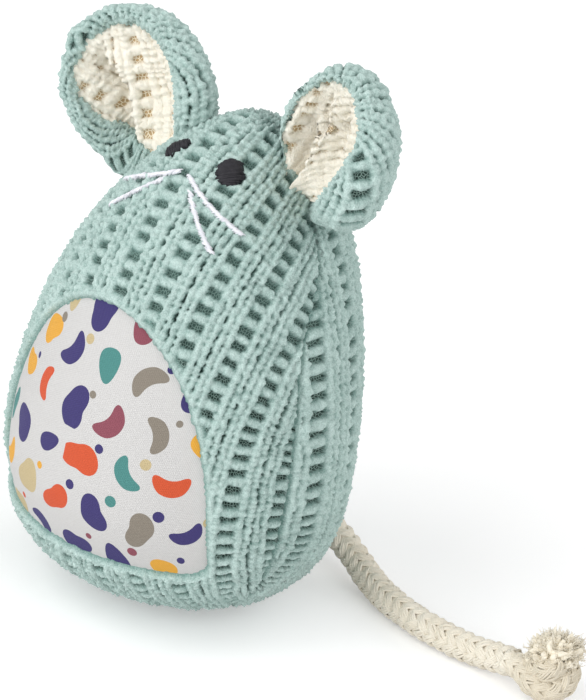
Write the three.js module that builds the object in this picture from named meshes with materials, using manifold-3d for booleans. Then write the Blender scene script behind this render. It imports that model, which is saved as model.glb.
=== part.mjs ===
// A catnip mouse: a plump sitting toy of chenille knit, with a belly patch, cupped ears and a rope tail.
// Millimetres, +Z up. The mouse faces -Y, its left side is +X, and the origin is the middle of its base flat.
import * as THREE from "three";
import { mergeVertices } from "three/addons/utils/BufferGeometryUtils.js";
import Module from "manifold-3d";

// Body: an egg, widest low down. Half width and half depth are cosine series in the angle from base to crown.
const BODY_HEIGHT = 81.6;
const BODY_LEAN = THREE.MathUtils.degToRad(6.9);
const BODY_BOW = 3.0;
const HALF_WIDTH = 29.3;
const WIDTH_TAPER = 11.7;
const WIDTH_FULLNESS = 2.0;
const WIDTH_ROUNDNESS = 1.1;
const HALF_DEPTH = 31.0;
const DEPTH_TAPER = 10.6;
const DEPTH_FULLNESS = 4.4;
const DEPTH_ROUNDNESS = 2.1;
const BASE_FLAT_DEPTH = 0.5;

// Cloth, clearances and thread
const PANEL_THICKNESS = 2.2;
const PATCH_THICKNESS = 1.0;
const GAP = 0.3;
const THREAD_DIAMETER = 0.8;
const THREAD_END_GAP = 1.0;

// Side seam: level with the body's middle at the head, and forward of it round the belly
const SEAM_ANGLE_HEAD = THREE.MathUtils.degToRad(90);
const SEAM_ANGLE_BELLY = THREE.MathUtils.degToRad(77);
const SEAM_TURN_START = THREE.MathUtils.degToRad(100);
const SEAM_TURN_END = THREE.MathUtils.degToRad(128);

// Knit ladders: the open columns between the ribs. Each is numbered from the panel's middle, spacing grows
// away from it, and the front's ladders spread as they climb while the back's draw together
const LADDER_RADIUS = 1.9;
const LADDER_LIFT = 0.5;
const LADDER_SEAM_MARGIN = 3.0;
const LADDER_LOW_UP = THREE.MathUtils.degToRad(34);
const FRONT_LADDERS = {
  first: -5,
  last: 4,
  shift: 0.13,
  spacing: 6.55,
  stretch: 47.5,
  highUp: THREE.MathUtils.degToRad(158),
};
const FRONT_SPREAD = 0.324;
const FRONT_SPREAD_MIDDLE = 8.0;
const FRONT_SPREAD_START = THREE.MathUtils.degToRad(84);
const FRONT_SPREAD_UP = THREE.MathUtils.degToRad(105);
const BACK_LADDERS = {
  first: -4,
  last: 4,
  shift: -0.28,
  spacing: 9.6,
  stretch: 87.6,
  highUp: THREE.MathUtils.degToRad(142),
};
const BACK_GATHER = 0.75;
const BODY_FULLEST_UP = THREE.MathUtils.degToRad(66);

// Belly patch: an arch with a flat hem
const PATCH_HALF_WIDTH = 22.5;
const PATCH_HEM_HEIGHT = 15.3;
const PATCH_SHOULDER_HEIGHT = 20.0;
const PATCH_TOP_HEIGHT = 55.8;
const PATCH_CORNER = 3.0;

// Face: angles round the body from the front, and up it from the base
const EYE_ROUND = THREE.MathUtils.degToRad(30);
const EYE_UP = THREE.MathUtils.degToRad(147.5);
const EYE_HALF_WIDTH = 2.3;
const EYE_HALF_HEIGHT = 2.4;
const EYE_THICKNESS = 0.8;
const WHISKER_DIAMETER = 0.9;
const UPPER_WHISKER = {
  startRound: THREE.MathUtils.degToRad(4),
  startUp: THREE.MathUtils.degToRad(142.6),
  endRound: THREE.MathUtils.degToRad(47),
  endUp: THREE.MathUtils.degToRad(131),
};
const LOWER_WHISKER = {
  startRound: THREE.MathUtils.degToRad(11.5),
  startUp: THREE.MathUtils.degToRad(138.6),
  endRound: THREE.MathUtils.degToRad(34.5),
  endUp: THREE.MathUtils.degToRad(125.5),
};

// Ears: a round leaf drawn in at its foot and rolled into a cup, with a lining inside a rolled rim
const EAR_DRAWN_LENGTH = 18.0;
const EAR_LINING_GAP = 0.5;
const EAR_EDGE_ROUNDING = 0.5;
const EAR_BOWL = 3.5;
const EAR_CLOTH = 2.2;
const EAR_RIM_WIDTH = 2.8;
const EAR_RIM_HEIGHT = 1.6;
const EAR_SINK = 3.0;
const EAR_FOLD_FORWARD = THREE.MathUtils.degToRad(-15);
const EAR_FOLD_BACK = THREE.MathUtils.degToRad(25);
const LEFT_EAR = {
  side: 1,
  length: 30,
  width: 26.5,
  foot: 8,
  up: THREE.MathUtils.degToRad(136),
  splay: THREE.MathUtils.degToRad(27),
  turn: THREE.MathUtils.degToRad(-27),
  footCup: 5.5,
  tipCup: 10.5,
};
const RIGHT_EAR = {
  side: -1,
  length: 31,
  width: 30,
  foot: 12,
  up: THREE.MathUtils.degToRad(129),
  splay: THREE.MathUtils.degToRad(19),
  turn: THREE.MathUtils.degToRad(4),
  footCup: 7.5,
  tipCup: 18,
};

// Tail: a rope sewn in low on the back, that lies on the floor beside the body
const ROPE_DIAMETER = 5.0;
const TAIL_ROUND = THREE.MathUtils.degToRad(155);
const TAIL_UP = THREE.MathUtils.degToRad(46);
const TAIL_STAND_OFF = 1.4;
const TAIL_ROOT_LENGTH = 14.0;
const TAIL_ROUTE = [
  [14.4, 19.5, 7.4],
  [17.3, 19.9, 5.8],
  [20.3, 19.6, 4.3],
  [23.9, 18.5, 3.2],
  [28.6, 16.8, 2.7],
  [33.9, 15.3, 2.7],
  [39.7, 14.5, 2.7],
  [44.9, 14.5, 2.7],
  [49.8, 15.0, 2.8],
  [53.8, 15.4, 3.4],
  [57.2, 15.6, 4.0],
];
const TAIL_BEND_DISTANCE = 21.6;
const KNOT_RADIUS = 5.3;
const KNOT_LOBE_DEPTH = 0.5;
const KNOT_LOBES = 3;
const TUFT_LENGTH = 7.0;
const TUFT_FOOT_RADIUS = 2.3;
const TUFT_SHOULDER_RADIUS = 4.7;
const TUFT_SHOULDER_LENGTH = 4.9;
const TUFT_END_RADIUS = 3.8;
const TUFT_DIRECTION = new THREE.Vector3(-0.05, 0.62, 0.78).normalize();

// Filling
const CATNIP_HALF_SIZE = new THREE.Vector3(12, 7, 16);
const CATNIP_HEIGHT = 32;

// Fineness of the meshes
const SKIN_RINGS = 22;
const SKIN_SIDES = 32;
const INNER_RINGS = 14;
const INNER_SIDES = 24;
const SEAT_STEPS = 400;
const LADDER_STEPS = 18;
const LADDER_SIDES = 6;
const ARCH_SEGMENTS = 10;
const THREAD_STEPS = 56;
const THREAD_SIDES = 5;
const BALL_RINGS = 8;
const BALL_SIDES = 12;
const POD_RINGS = 10;
const POD_SIDES = 16;
const EYE_SIDES = 16;
const EYE_CROWN_SHARE = 0.75;
const WHISKER_STEPS = 7;
const WHISKER_SIDES = 8;
const EAR_SIDES = 24;
const FOLD_STEPS = 4;
const ROPE_STEPS = 9;
const ROPE_SIDES = 10;
const KNOT_RINGS = 12;
const KNOT_SIDES = 18;
const TUFT_SIDES = 12;
const NUDGE = 1e-3;
const POLE_MARGIN = 0.02;
const WELD = 1e-4;
const FAR = 200;

const wasm = await Module();
wasm.setup();

function solidFrom(geometry) {
  const bare = geometry.index ? geometry.toNonIndexed() : geometry.clone();
  bare.deleteAttribute("normal");
  bare.deleteAttribute("uv");
  const merged = mergeVertices(bare, WELD);
  const mesh = new wasm.Mesh({
    numProp: 3,
    vertProperties: merged.attributes.position.array,
    triVerts: new Uint32Array(merged.index.array),
  });
  return new wasm.Manifold(mesh);
}

function geometryFrom(solid) {
  const mesh = solid.getMesh();
  const geometry = new THREE.BufferGeometry();
  geometry.setAttribute("position", new THREE.BufferAttribute(mesh.vertProperties, 3));
  geometry.setIndex(new THREE.BufferAttribute(mesh.triVerts, 1));
  geometry.computeVertexNormals();
  return geometry;
}

// The body's skin
function swell(up, mean, taper, fullness, roundness) {
  const series = mean + taper * Math.cos(up) + fullness * Math.cos(2 * up) + roundness * Math.cos(3 * up);
  return Math.sin(up) * series;
}

function leanedPoint(up, round) {
  const share = (1 - Math.cos(up)) / 2;
  const halfWidth = swell(up, HALF_WIDTH, WIDTH_TAPER, WIDTH_FULLNESS, WIDTH_ROUNDNESS);
  const halfDepth = swell(up, HALF_DEPTH, DEPTH_TAPER, DEPTH_FULLNESS, DEPTH_ROUNDNESS);
  const bow = BODY_BOW * 4 * share * (1 - share);
  const x = halfWidth * Math.sin(round);
  const y = -halfDepth * Math.cos(round) - bow;
  const upright = new THREE.Vector3(x, y, BODY_HEIGHT * share);
  return upright.applyAxisAngle(new THREE.Vector3(1, 0, 0), -BODY_LEAN);
}

function lowestPoint() {
  let lowest = leanedPoint(0, 0);
  for (let step = 0; step <= SEAT_STEPS; step += 1) {
    const point = leanedPoint((step / SEAT_STEPS) * (Math.PI / 2), Math.PI);
    if (point.z < lowest.z) lowest = point;
  }
  return lowest;
}

const seat = lowestPoint().add(new THREE.Vector3(0, 0, BASE_FLAT_DEPTH));

function skinNormal(up, round) {
  const safeUp = THREE.MathUtils.clamp(up, POLE_MARGIN, Math.PI - POLE_MARGIN);
  const alongRound = leanedPoint(safeUp, round + NUDGE).sub(leanedPoint(safeUp, round - NUDGE));
  const alongUp = leanedPoint(safeUp + NUDGE, round).sub(leanedPoint(safeUp - NUDGE, round));
  return alongRound.cross(alongUp).normalize();
}

function skin(up, round, lift = 0) {
  const point = leanedPoint(up, round).sub(seat);
  return lift === 0 ? point : point.addScaledVector(skinNormal(up, round), lift);
}

// A closed surface from rings of points between two end points
function closedRings(first, rings, last) {
  const sides = rings[0].length;
  const points = [first, ...rings.flat(), last];
  const index = [];
  const at = (ring, side) => 1 + ring * sides + (side % sides);
  for (let side = 0; side < sides; side += 1) {
    index.push(0, at(0, side + 1), at(0, side));
    for (let ring = 0; ring + 1 < rings.length; ring += 1) {
      index.push(at(ring, side), at(ring, side + 1), at(ring + 1, side + 1));
      index.push(at(ring, side), at(ring + 1, side + 1), at(ring + 1, side));
    }
    index.push(points.length - 1, at(rings.length - 1, side), at(rings.length - 1, side + 1));
  }
  const geometry = new THREE.BufferGeometry().setFromPoints(points);
  geometry.setIndex(index);
  return geometry;
}

function egg(lift, ringCount, sides) {
  const rings = [];
  for (let ring = 1; ring < ringCount; ring += 1) {
    const up = (Math.PI * ring) / ringCount;
    rings.push(Array.from({ length: sides }, (_, side) => skin(up, (2 * Math.PI * side) / sides, lift)));
  }
  return solidFrom(closedRings(skin(0, 0, lift), rings, skin(Math.PI, 0, lift)));
}

// The two sides of the seam, as blocks whose inner face follows the seam line
function seamAngle(up) {
  const turned = THREE.MathUtils.smoothstep(up, SEAM_TURN_START, SEAM_TURN_END);
  return THREE.MathUtils.lerp(SEAM_ANGLE_BELLY, SEAM_ANGLE_HEAD, turned);
}

function seamSide(direction, gap) {
  const line = [];
  for (let step = 0; step <= SKIN_RINGS; step += 1) {
    const up = (Math.PI * step) / SKIN_RINGS;
    const point = skin(up, seamAngle(up));
    line.push(new THREE.Vector2(point.y + (direction * gap) / 2, point.z));
  }
  const first = line[0];
  const last = line[SKIN_RINGS];
  const outline = [
    new THREE.Vector2(first.x, -FAR),
    ...line,
    new THREE.Vector2(last.x, FAR),
    new THREE.Vector2(direction * FAR, FAR),
    new THREE.Vector2(direction * FAR, -FAR),
  ];
  const options = { depth: 2 * FAR, bevelEnabled: false };
  const block = new THREE.ExtrudeGeometry(new THREE.Shape(outline), options);
  const toSide = new THREE.Matrix4().makeBasis(
    new THREE.Vector3(0, 1, 0),
    new THREE.Vector3(0, 0, 1),
    new THREE.Vector3(1, 0, 0),
  );
  block.translate(0, 0, -FAR).applyMatrix4(toSide);
  return solidFrom(block);
}

function patchBlock(margin) {
  const halfWidth = PATCH_HALF_WIDTH - margin;
  const hem = PATCH_HEM_HEIGHT + margin;
  const arch = new THREE.Shape();
  arch.moveTo(-halfWidth + PATCH_CORNER, hem);
  arch.lineTo(halfWidth - PATCH_CORNER, hem);
  arch.quadraticCurveTo(halfWidth, hem, halfWidth, PATCH_SHOULDER_HEIGHT);
  const rise = PATCH_TOP_HEIGHT - margin - PATCH_SHOULDER_HEIGHT;
  arch.absellipse(0, PATCH_SHOULDER_HEIGHT, halfWidth, rise, 0, Math.PI, false, 0);
  arch.quadraticCurveTo(-halfWidth, hem, -halfWidth + PATCH_CORNER, hem);
  const options = { depth: FAR, bevelEnabled: false, curveSegments: ARCH_SEGMENTS };
  const block = new THREE.ExtrudeGeometry(arch, options);
  return solidFrom(block.rotateX(Math.PI / 2));
}

function ringShape(radius, sides) {
  const corner = (side) => {
    const angle = (2 * Math.PI * side) / sides;
    return new THREE.Vector2(radius * Math.cos(angle), radius * Math.sin(angle));
  };
  return new THREE.Shape(Array.from({ length: sides }, (_, side) => corner(side)));
}

function tube(path, diameter, steps, sides) {
  const options = { extrudePath: path, steps, bevelEnabled: false };
  return new THREE.ExtrudeGeometry(ringShape(diameter / 2, sides), options);
}

// Ladders of the knit, as rods that are cut out of the panels
function ringRadius(up) {
  const halfWidth = swell(up, HALF_WIDTH, WIDTH_TAPER, WIDTH_FULLNESS, WIDTH_ROUNDNESS);
  const halfDepth = swell(up, HALF_DEPTH, DEPTH_TAPER, DEPTH_FULLNESS, DEPTH_ROUNDNESS);
  return (halfWidth + halfDepth) / 2;
}

function frontLadderRound(distance, up) {
  const climb = Math.max(up, FRONT_SPREAD_START) - FRONT_SPREAD_UP;
  const spread = (distance - FRONT_SPREAD_MIDDLE) * Math.exp(FRONT_SPREAD * climb);
  return (FRONT_SPREAD_MIDDLE + spread) / ringRadius(up);
}

function backLadderRound(distance, up) {
  const drawnIn = ringRadius(Math.max(up, BODY_FULLEST_UP)) / ringRadius(BODY_FULLEST_UP);
  return (distance * drawnIn ** BACK_GATHER) / ringRadius(up);
}

function cutLadders(panel, ladders, middle, roundAt, edgeAt) {
  let left = panel;
  for (let number = ladders.first; number <= ladders.last; number += 1) {
    const share = ((number + ladders.shift) * ladders.spacing) / ladders.stretch;
    const distance = ladders.stretch * Math.tan(share);
    const points = [];
    for (let step = 0; step <= LADDER_STEPS; step += 1) {
      const up = THREE.MathUtils.lerp(LADDER_LOW_UP, ladders.highUp, step / LADDER_STEPS);
      const round = roundAt(distance, up);
      const edge = edgeAt(up) - LADDER_SEAM_MARGIN / ringRadius(up);
      if (Math.abs(round) < edge) points.push(skin(up, middle + round, LADDER_LIFT));
    }
    const course = new THREE.CatmullRomCurve3(points);
    const rod = tube(course, 2 * LADDER_RADIUS, points.length - 1, LADDER_SIDES);
    left = left.subtract(solidFrom(rod));
  }
  return left;
}

// Part of a curve, by shares of its length
class Stretch extends THREE.Curve {
  constructor(whole, start, end) {
    super();
    this.whole = whole;
    this.start = start;
    this.end = end;
  }

  getPoint(share, target = new THREE.Vector3()) {
    const along = THREE.MathUtils.lerp(this.start, this.end, share);
    return target.copy(this.whole.getPointAt(along));
  }
}

const floorBlock = solidFrom(new THREE.BoxGeometry(FAR, FAR, FAR).translate(0, 0, -FAR / 2));
const outerEgg = egg(0, SKIN_RINGS, SKIN_SIDES);
const clothInside = egg(-PANEL_THICKNESS, INNER_RINGS, INNER_SIDES);
const clothShell = outerEgg.subtract(clothInside).subtract(floorBlock);

// Tail root: a short length of rope through the back panel, hollowed at its mouth for the tail's rounded end
const tailNormal = skinNormal(TAIL_UP, TAIL_ROUND);
const tailPivot = skin(TAIL_UP, TAIL_ROUND, TAIL_STAND_OFF);

function rootCylinder(margin) {
  const inner = tailPivot.clone().addScaledVector(tailNormal, -TAIL_ROOT_LENGTH - margin);
  return solidFrom(tube(new THREE.LineCurve3(inner, tailPivot), ROPE_DIAMETER + 2 * margin, 1, ROPE_SIDES));
}

function ballAt(centre, radius) {
  const ball = new THREE.SphereGeometry(radius, BALL_SIDES, BALL_RINGS);
  return solidFrom(ball.translate(centre.x, centre.y, centre.z));
}

const rootBore = rootCylinder(GAP);
const rootSocket = ballAt(tailPivot, ROPE_DIAMETER / 2 + GAP);
const tailRoot = rootCylinder(0).subtract(rootSocket);

// Cloth panels
const frontCloth = clothShell.intersect(seamSide(-1, GAP)).subtract(patchBlock(0));
const backCloth = clothShell.intersect(seamSide(1, GAP)).subtract(rootBore).subtract(rootSocket);
const frontPanel = cutLadders(frontCloth, FRONT_LADDERS, 0, frontLadderRound, seamAngle);
const backEdge = (up) => Math.PI - seamAngle(up);
const backPanel = cutLadders(backCloth, BACK_LADDERS, Math.PI, backLadderRound, backEdge);
const patchShell = egg(PATCH_THICKNESS - PANEL_THICKNESS, SKIN_RINGS, SKIN_SIDES).subtract(clothInside);
const bellyPatch = patchShell.intersect(seamSide(-1, GAP)).intersect(patchBlock(GAP));

// Seam thread: once round the body, just inside the cloth
const threadDepth = PANEL_THICKNESS + GAP + THREAD_DIAMETER / 2;
const threadPoints = [];
for (let step = 0; step < 2 * SKIN_RINGS; step += 1) {
  const turn = (2 * Math.PI * step) / (2 * SKIN_RINGS);
  const up = turn <= Math.PI ? turn : 2 * Math.PI - turn;
  const side = turn <= Math.PI ? 1 : -1;
  threadPoints.push(skin(up, side * seamAngle(up), -threadDepth));
}
const threadLoop = new THREE.CatmullRomCurve3(threadPoints, true);
const threadEnd = 1 - THREAD_END_GAP / threadLoop.getLength();

function threadTube(margin) {
  const course = new Stretch(threadLoop, 0, threadEnd);
  return tube(course, THREAD_DIAMETER + 2 * margin, THREAD_STEPS, THREAD_SIDES);
}

// Filling: two wads that meet at the seam, with the catnip between them
const seamMiddle = skin(SEAM_TURN_START, SEAM_ANGLE_BELLY);

function catnipPod(margin) {
  const size = CATNIP_HALF_SIZE;
  const pod = new THREE.SphereGeometry(1, POD_SIDES, POD_RINGS);
  pod.scale(size.x + margin, size.y + margin, size.z + margin);
  return solidFrom(pod.translate(0, seamMiddle.y, CATNIP_HEIGHT));
}

const clothFill = egg(-PANEL_THICKNESS - GAP, INNER_RINGS, INNER_SIDES);
const wad = clothFill.subtract(catnipPod(GAP)).subtract(rootBore).subtract(solidFrom(threadTube(GAP)));

// The main body of a cut solid, without slivers beside a cut
function mainBody(solid) {
  return solid.decompose().reduce((main, next) => (next.volume() > main.volume() ? next : main));
}

const stuffingFront = mainBody(wad.intersect(seamSide(-1, GAP)));
const stuffingBack = mainBody(wad.intersect(seamSide(1, GAP)));

// A round form from its profile: pairs of share of the way out and height, from front pole to back pole
function dish(profile, sides, place) {
  const around = (side) => (2 * Math.PI * side) / sides;
  const rings = profile.slice(1, -1).map(([out, height]) => {
    return Array.from({ length: sides }, (_, side) => place(out, around(side), height));
  });
  const [first, last] = [profile[0], profile[profile.length - 1]];
  return closedRings(place(0, 0, first[1]), rings, place(0, 0, last[1]));
}

// Eyes and whiskers lie on the front panel
function eye(side) {
  const middle = skin(EYE_UP, side * EYE_ROUND);
  const perRound = skin(EYE_UP, side * EYE_ROUND + NUDGE).distanceTo(middle) / NUDGE;
  const perUp = skin(EYE_UP + NUDGE, side * EYE_ROUND).distanceTo(middle) / NUDGE;
  const place = (out, around, height) => {
    const round = side * EYE_ROUND + (out * EYE_HALF_WIDTH * Math.sin(around)) / perRound;
    const up = EYE_UP + (out * EYE_HALF_HEIGHT * Math.cos(around)) / perUp;
    return skin(up, round, height);
  };
  const top = GAP + EYE_THICKNESS;
  const profile = [
    [0, top],
    [EYE_CROWN_SHARE / 2, top],
    [EYE_CROWN_SHARE, top],
    [1, GAP + EYE_THICKNESS / 2],
    [1, GAP],
    [EYE_CROWN_SHARE / 2, GAP],
    [0, GAP],
  ];
  return dish(profile, EYE_SIDES, place);
}

function whisker(side, course) {
  const points = [];
  for (let step = 0; step <= WHISKER_STEPS; step += 1) {
    const round = THREE.MathUtils.lerp(course.startRound, course.endRound, step / WHISKER_STEPS);
    const up = THREE.MathUtils.lerp(course.startUp, course.endUp, step / WHISKER_STEPS);
    points.push(skin(up, side * round, GAP + WHISKER_DIAMETER / 2));
  }
  return tube(new THREE.CatmullRomCurve3(points), WHISKER_DIAMETER, WHISKER_STEPS, WHISKER_SIDES);
}

// Ears
function earFrame(ear) {
  const round = ear.side * SEAM_ANGLE_HEAD;
  const alongSeam = skin(ear.up + NUDGE, round).sub(skin(ear.up - NUDGE, round)).normalize();
  const stance = new THREE.Euler(0, ear.side * ear.splay, ear.turn, "ZXY");
  const turn = new THREE.Quaternion().setFromEuler(stance);
  return {
    foot: skin(ear.up, round),
    hinge: alongSeam.multiplyScalar(ear.side),
    across: new THREE.Vector3(1, 0, 0).applyQuaternion(turn),
    along: new THREE.Vector3(0, 0, 1).applyQuaternion(turn),
    facing: new THREE.Vector3(0, -1, 0).applyQuaternion(turn),
  };
}

function earPlace(ear) {
  const frame = earFrame(ear);
  return (out, around, height) => {
    const y = (ear.length / 2) * (1 + out * Math.cos(around));
    const drawnIn = THREE.MathUtils.smoothstep(y, 0, EAR_DRAWN_LENGTH);
    const width = THREE.MathUtils.lerp(ear.foot, ear.width, drawnIn);
    const x = (out * Math.sin(around) * width) / 2;
    const cup = THREE.MathUtils.lerp(ear.footCup, ear.tipCup, y / ear.length);
    const level = height - EAR_BOWL * (1 - out * out);
    const bend = x / cup;
    const sideways = (cup - level) * Math.sin(bend);
    const forward = cup - (cup - level) * Math.cos(bend);
    return frame.foot
      .clone()
      .addScaledVector(frame.across, sideways)
      .addScaledVector(frame.along, y - EAR_SINK)
      .addScaledVector(frame.facing, forward);
  };
}

// What the head takes away from an ear over its whole fold
function clearOfHead(ear, solid) {
  const frame = earFrame(ear);
  const head = egg(GAP, INNER_RINGS * 2, INNER_SIDES);
  const toFoot = new THREE.Matrix4().makeTranslation(frame.foot);
  const fromFoot = new THREE.Matrix4().makeTranslation(frame.foot.clone().negate());
  let left = solid;
  for (let step = 0; step <= FOLD_STEPS; step += 1) {
    const fold = THREE.MathUtils.lerp(EAR_FOLD_FORWARD, EAR_FOLD_BACK, step / FOLD_STEPS);
    const turn = new THREE.Matrix4().makeRotationAxis(frame.hinge, -fold);
    const swung = geometryFrom(head).applyMatrix4(toFoot.clone().multiply(turn).multiply(fromFoot));
    left = left.subtract(solidFrom(swung));
  }
  return left;
}

function earLiningProfile(ear) {
  const edge = 1 - (EAR_RIM_WIDTH + EAR_LINING_GAP) / (ear.width / 2);
  const face = edge - EAR_EDGE_ROUNDING / (ear.width / 2);
  return [
    [0, 0],
    [face / 2, 0],
    [face, 0],
    [edge, -EAR_CLOTH / 2],
    [face, -EAR_CLOTH],
    [face / 2, -EAR_CLOTH],
    [0, -EAR_CLOTH],
  ];
}

function earOuterProfile(ear) {
  const rim = 1 - EAR_RIM_WIDTH / (ear.width / 2);
  const underRim = 1 - EAR_EDGE_ROUNDING / (ear.width / 2);
  const seatLevel = -EAR_CLOTH - EAR_LINING_GAP;
  const backLevel = seatLevel - EAR_CLOTH;
  return [
    [0, seatLevel],
    [rim / 2, seatLevel],
    [rim, seatLevel],
    [rim, EAR_RIM_HEIGHT / 2],
    [(1 + rim) / 2, EAR_RIM_HEIGHT],
    [1, 0],
    [underRim, seatLevel],
    [rim, backLevel],
    [rim / 2, backLevel],
    [0, backLevel],
  ];
}

function earSolid(ear, profile) {
  return clearOfHead(ear, solidFrom(dish(profile, EAR_SIDES, earPlace(ear))));
}

// Tail rope, in two stretches that bend where they meet, then its knot and frayed end
const ropePoints = TAIL_ROUTE.map((point) => new THREE.Vector3(...point));
const ropeRoute = new THREE.CatmullRomCurve3([tailPivot, ...ropePoints]);
const ropeLength = ropeRoute.getLength();
const baseStretch = new Stretch(ropeRoute, 0, (TAIL_BEND_DISTANCE - GAP / 2) / ropeLength);
const endStretch = new Stretch(ropeRoute, (TAIL_BEND_DISTANCE + GAP / 2) / ropeLength, 1);
const ropeBall = ballAt(tailPivot, ROPE_DIAMETER / 2);
const ropeBase = solidFrom(tube(baseStretch, ROPE_DIAMETER, ROPE_STEPS, ROPE_SIDES)).add(ropeBall);
const ropeEnd = tube(endStretch, ROPE_DIAMETER, ROPE_STEPS, ROPE_SIDES);
const ropeTip = ropeRoute.getPointAt(1);
const ropeTipDirection = ropeRoute.getTangentAt(1);
const knotCentre = ropeTip.clone().addScaledVector(ropeTipDirection, KNOT_RADIUS);
knotCentre.z = KNOT_RADIUS;

function knot() {
  const ball = new THREE.SphereGeometry(KNOT_RADIUS, KNOT_SIDES, KNOT_RINGS);
  const spot = ball.attributes.position;
  for (let corner = 0; corner < spot.count; corner += 1) {
    const point = new THREE.Vector3().fromBufferAttribute(spot, corner);
    const round = Math.atan2(point.z, point.x);
    const lobes = Math.sin(KNOT_LOBES * round) * (1 - Math.abs(point.y) / KNOT_RADIUS);
    point.multiplyScalar(1 - (KNOT_LOBE_DEPTH / KNOT_RADIUS) * (1 - lobes));
    spot.setXYZ(corner, point.x, point.y, point.z);
  }
  return solidFrom(ball.translate(knotCentre.x, knotCentre.y, knotCentre.z));
}

function tuft(foot) {
  const profile = [
    new THREE.Vector2(0, 0),
    new THREE.Vector2(TUFT_FOOT_RADIUS, 0),
    new THREE.Vector2(TUFT_SHOULDER_RADIUS, TUFT_SHOULDER_LENGTH),
    new THREE.Vector2(TUFT_END_RADIUS, TUFT_LENGTH),
    new THREE.Vector2(0, TUFT_LENGTH),
  ];
  const form = new THREE.LatheGeometry(profile, TUFT_SIDES);
  const stand = new THREE.Quaternion().setFromUnitVectors(new THREE.Vector3(0, 1, 0), TUFT_DIRECTION);
  return form.applyQuaternion(stand).translate(foot.x, foot.y, foot.z);
}

const knotSolid = knot();
const tuftFoot = knotCentre.clone().addScaledVector(TUFT_DIRECTION, KNOT_RADIUS / 2);
const tuftSolid = solidFrom(tuft(tuftFoot)).subtract(ballAt(knotCentre, KNOT_RADIUS + GAP));

// Materials
const CHENILLE = { color: 0xa6bfb9, roughness: 0.95 };
const LINING = { color: 0xe3dccb, roughness: 0.95 };
const PRINT_COTTON = { color: 0xe2e1df, roughness: 0.85 };
const STUFFING = { color: 0xf2f2f0, roughness: 1 };
const CATNIP = { color: 0x7d8a5a, roughness: 1 };
const SEWING_THREAD = { color: 0x9cb7b1, roughness: 0.8 };
const EYE_THREAD = { color: 0x353438, roughness: 0.6 };
const WHISKER_THREAD = { color: 0xeeeef2, roughness: 0.7 };
const COTTON_ROPE = { color: 0xdedacb, roughness: 0.9 };

// The assembled mouse
const mouse = new THREE.Group();

function addPiece(group, name, geometry, finish) {
  const mesh = new THREE.Mesh(geometry, new THREE.MeshStandardMaterial({ ...finish, metalness: 0 }));
  mesh.name = name;
  group.add(mesh);
}

const body = new THREE.Group();
addPiece(body, "front_panel", geometryFrom(frontPanel), CHENILLE);
addPiece(body, "back_panel", geometryFrom(backPanel), CHENILLE);
addPiece(body, "belly_patch", geometryFrom(bellyPatch), PRINT_COTTON);
addPiece(body, "stuffing_front", geometryFrom(stuffingFront), STUFFING);
addPiece(body, "stuffing_back", geometryFrom(stuffingBack), STUFFING);
addPiece(body, "catnip_fill", geometryFrom(catnipPod(0)), CATNIP);
addPiece(body, "body_seam_thread", threadTube(0), SEWING_THREAD);
for (const [name, side] of [["left", 1], ["right", -1]]) {
  addPiece(body, `${name}_eye`, eye(side), EYE_THREAD);
  addPiece(body, `${name}_upper_whisker`, whisker(side, UPPER_WHISKER), WHISKER_THREAD);
  addPiece(body, `${name}_lower_whisker`, whisker(side, LOWER_WHISKER), WHISKER_THREAD);
}
addPiece(body, "tail_root", geometryFrom(tailRoot), COTTON_ROPE);
mouse.add(body);

for (const [name, ear] of [["left", LEFT_EAR], ["right", RIGHT_EAR]]) {
  const earGroup = new THREE.Group();
  addPiece(earGroup, `${name}_ear_outer`, geometryFrom(earSolid(ear, earOuterProfile(ear))), CHENILLE);
  addPiece(earGroup, `${name}_ear_lining`, geometryFrom(earSolid(ear, earLiningProfile(ear))), LINING);
  mouse.add(earGroup);
}

const tail = new THREE.Group();
addPiece(tail, "tail_rope_base", geometryFrom(ropeBase), COTTON_ROPE);
addPiece(tail, "tail_rope_end", ropeEnd, COTTON_ROPE);
addPiece(tail, "tail_knot", geometryFrom(knotSolid), COTTON_ROPE);
addPiece(tail, "tail_tuft", geometryFrom(tuftSolid), COTTON_ROPE);
mouse.add(tail);

export default mouse;
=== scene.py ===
import math
from types import SimpleNamespace

import bpy
import numpy as np
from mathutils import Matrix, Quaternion, Vector


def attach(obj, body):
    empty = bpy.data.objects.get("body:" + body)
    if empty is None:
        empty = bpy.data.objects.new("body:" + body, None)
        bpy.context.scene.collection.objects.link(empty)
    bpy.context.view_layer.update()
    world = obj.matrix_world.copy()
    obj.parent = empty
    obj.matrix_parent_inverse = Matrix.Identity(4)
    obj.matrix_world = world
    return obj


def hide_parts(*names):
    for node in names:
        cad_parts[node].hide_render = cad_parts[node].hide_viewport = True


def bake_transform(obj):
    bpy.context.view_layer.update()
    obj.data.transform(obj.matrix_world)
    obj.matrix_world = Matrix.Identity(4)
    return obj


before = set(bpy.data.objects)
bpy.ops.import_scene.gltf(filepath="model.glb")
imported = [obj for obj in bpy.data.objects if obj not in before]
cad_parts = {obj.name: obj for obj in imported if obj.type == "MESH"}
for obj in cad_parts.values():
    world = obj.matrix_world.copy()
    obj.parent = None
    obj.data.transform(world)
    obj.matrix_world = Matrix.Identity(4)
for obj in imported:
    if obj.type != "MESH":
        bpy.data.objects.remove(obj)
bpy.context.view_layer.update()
bpy.ops.object.select_all(action="DESELECT")

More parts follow.
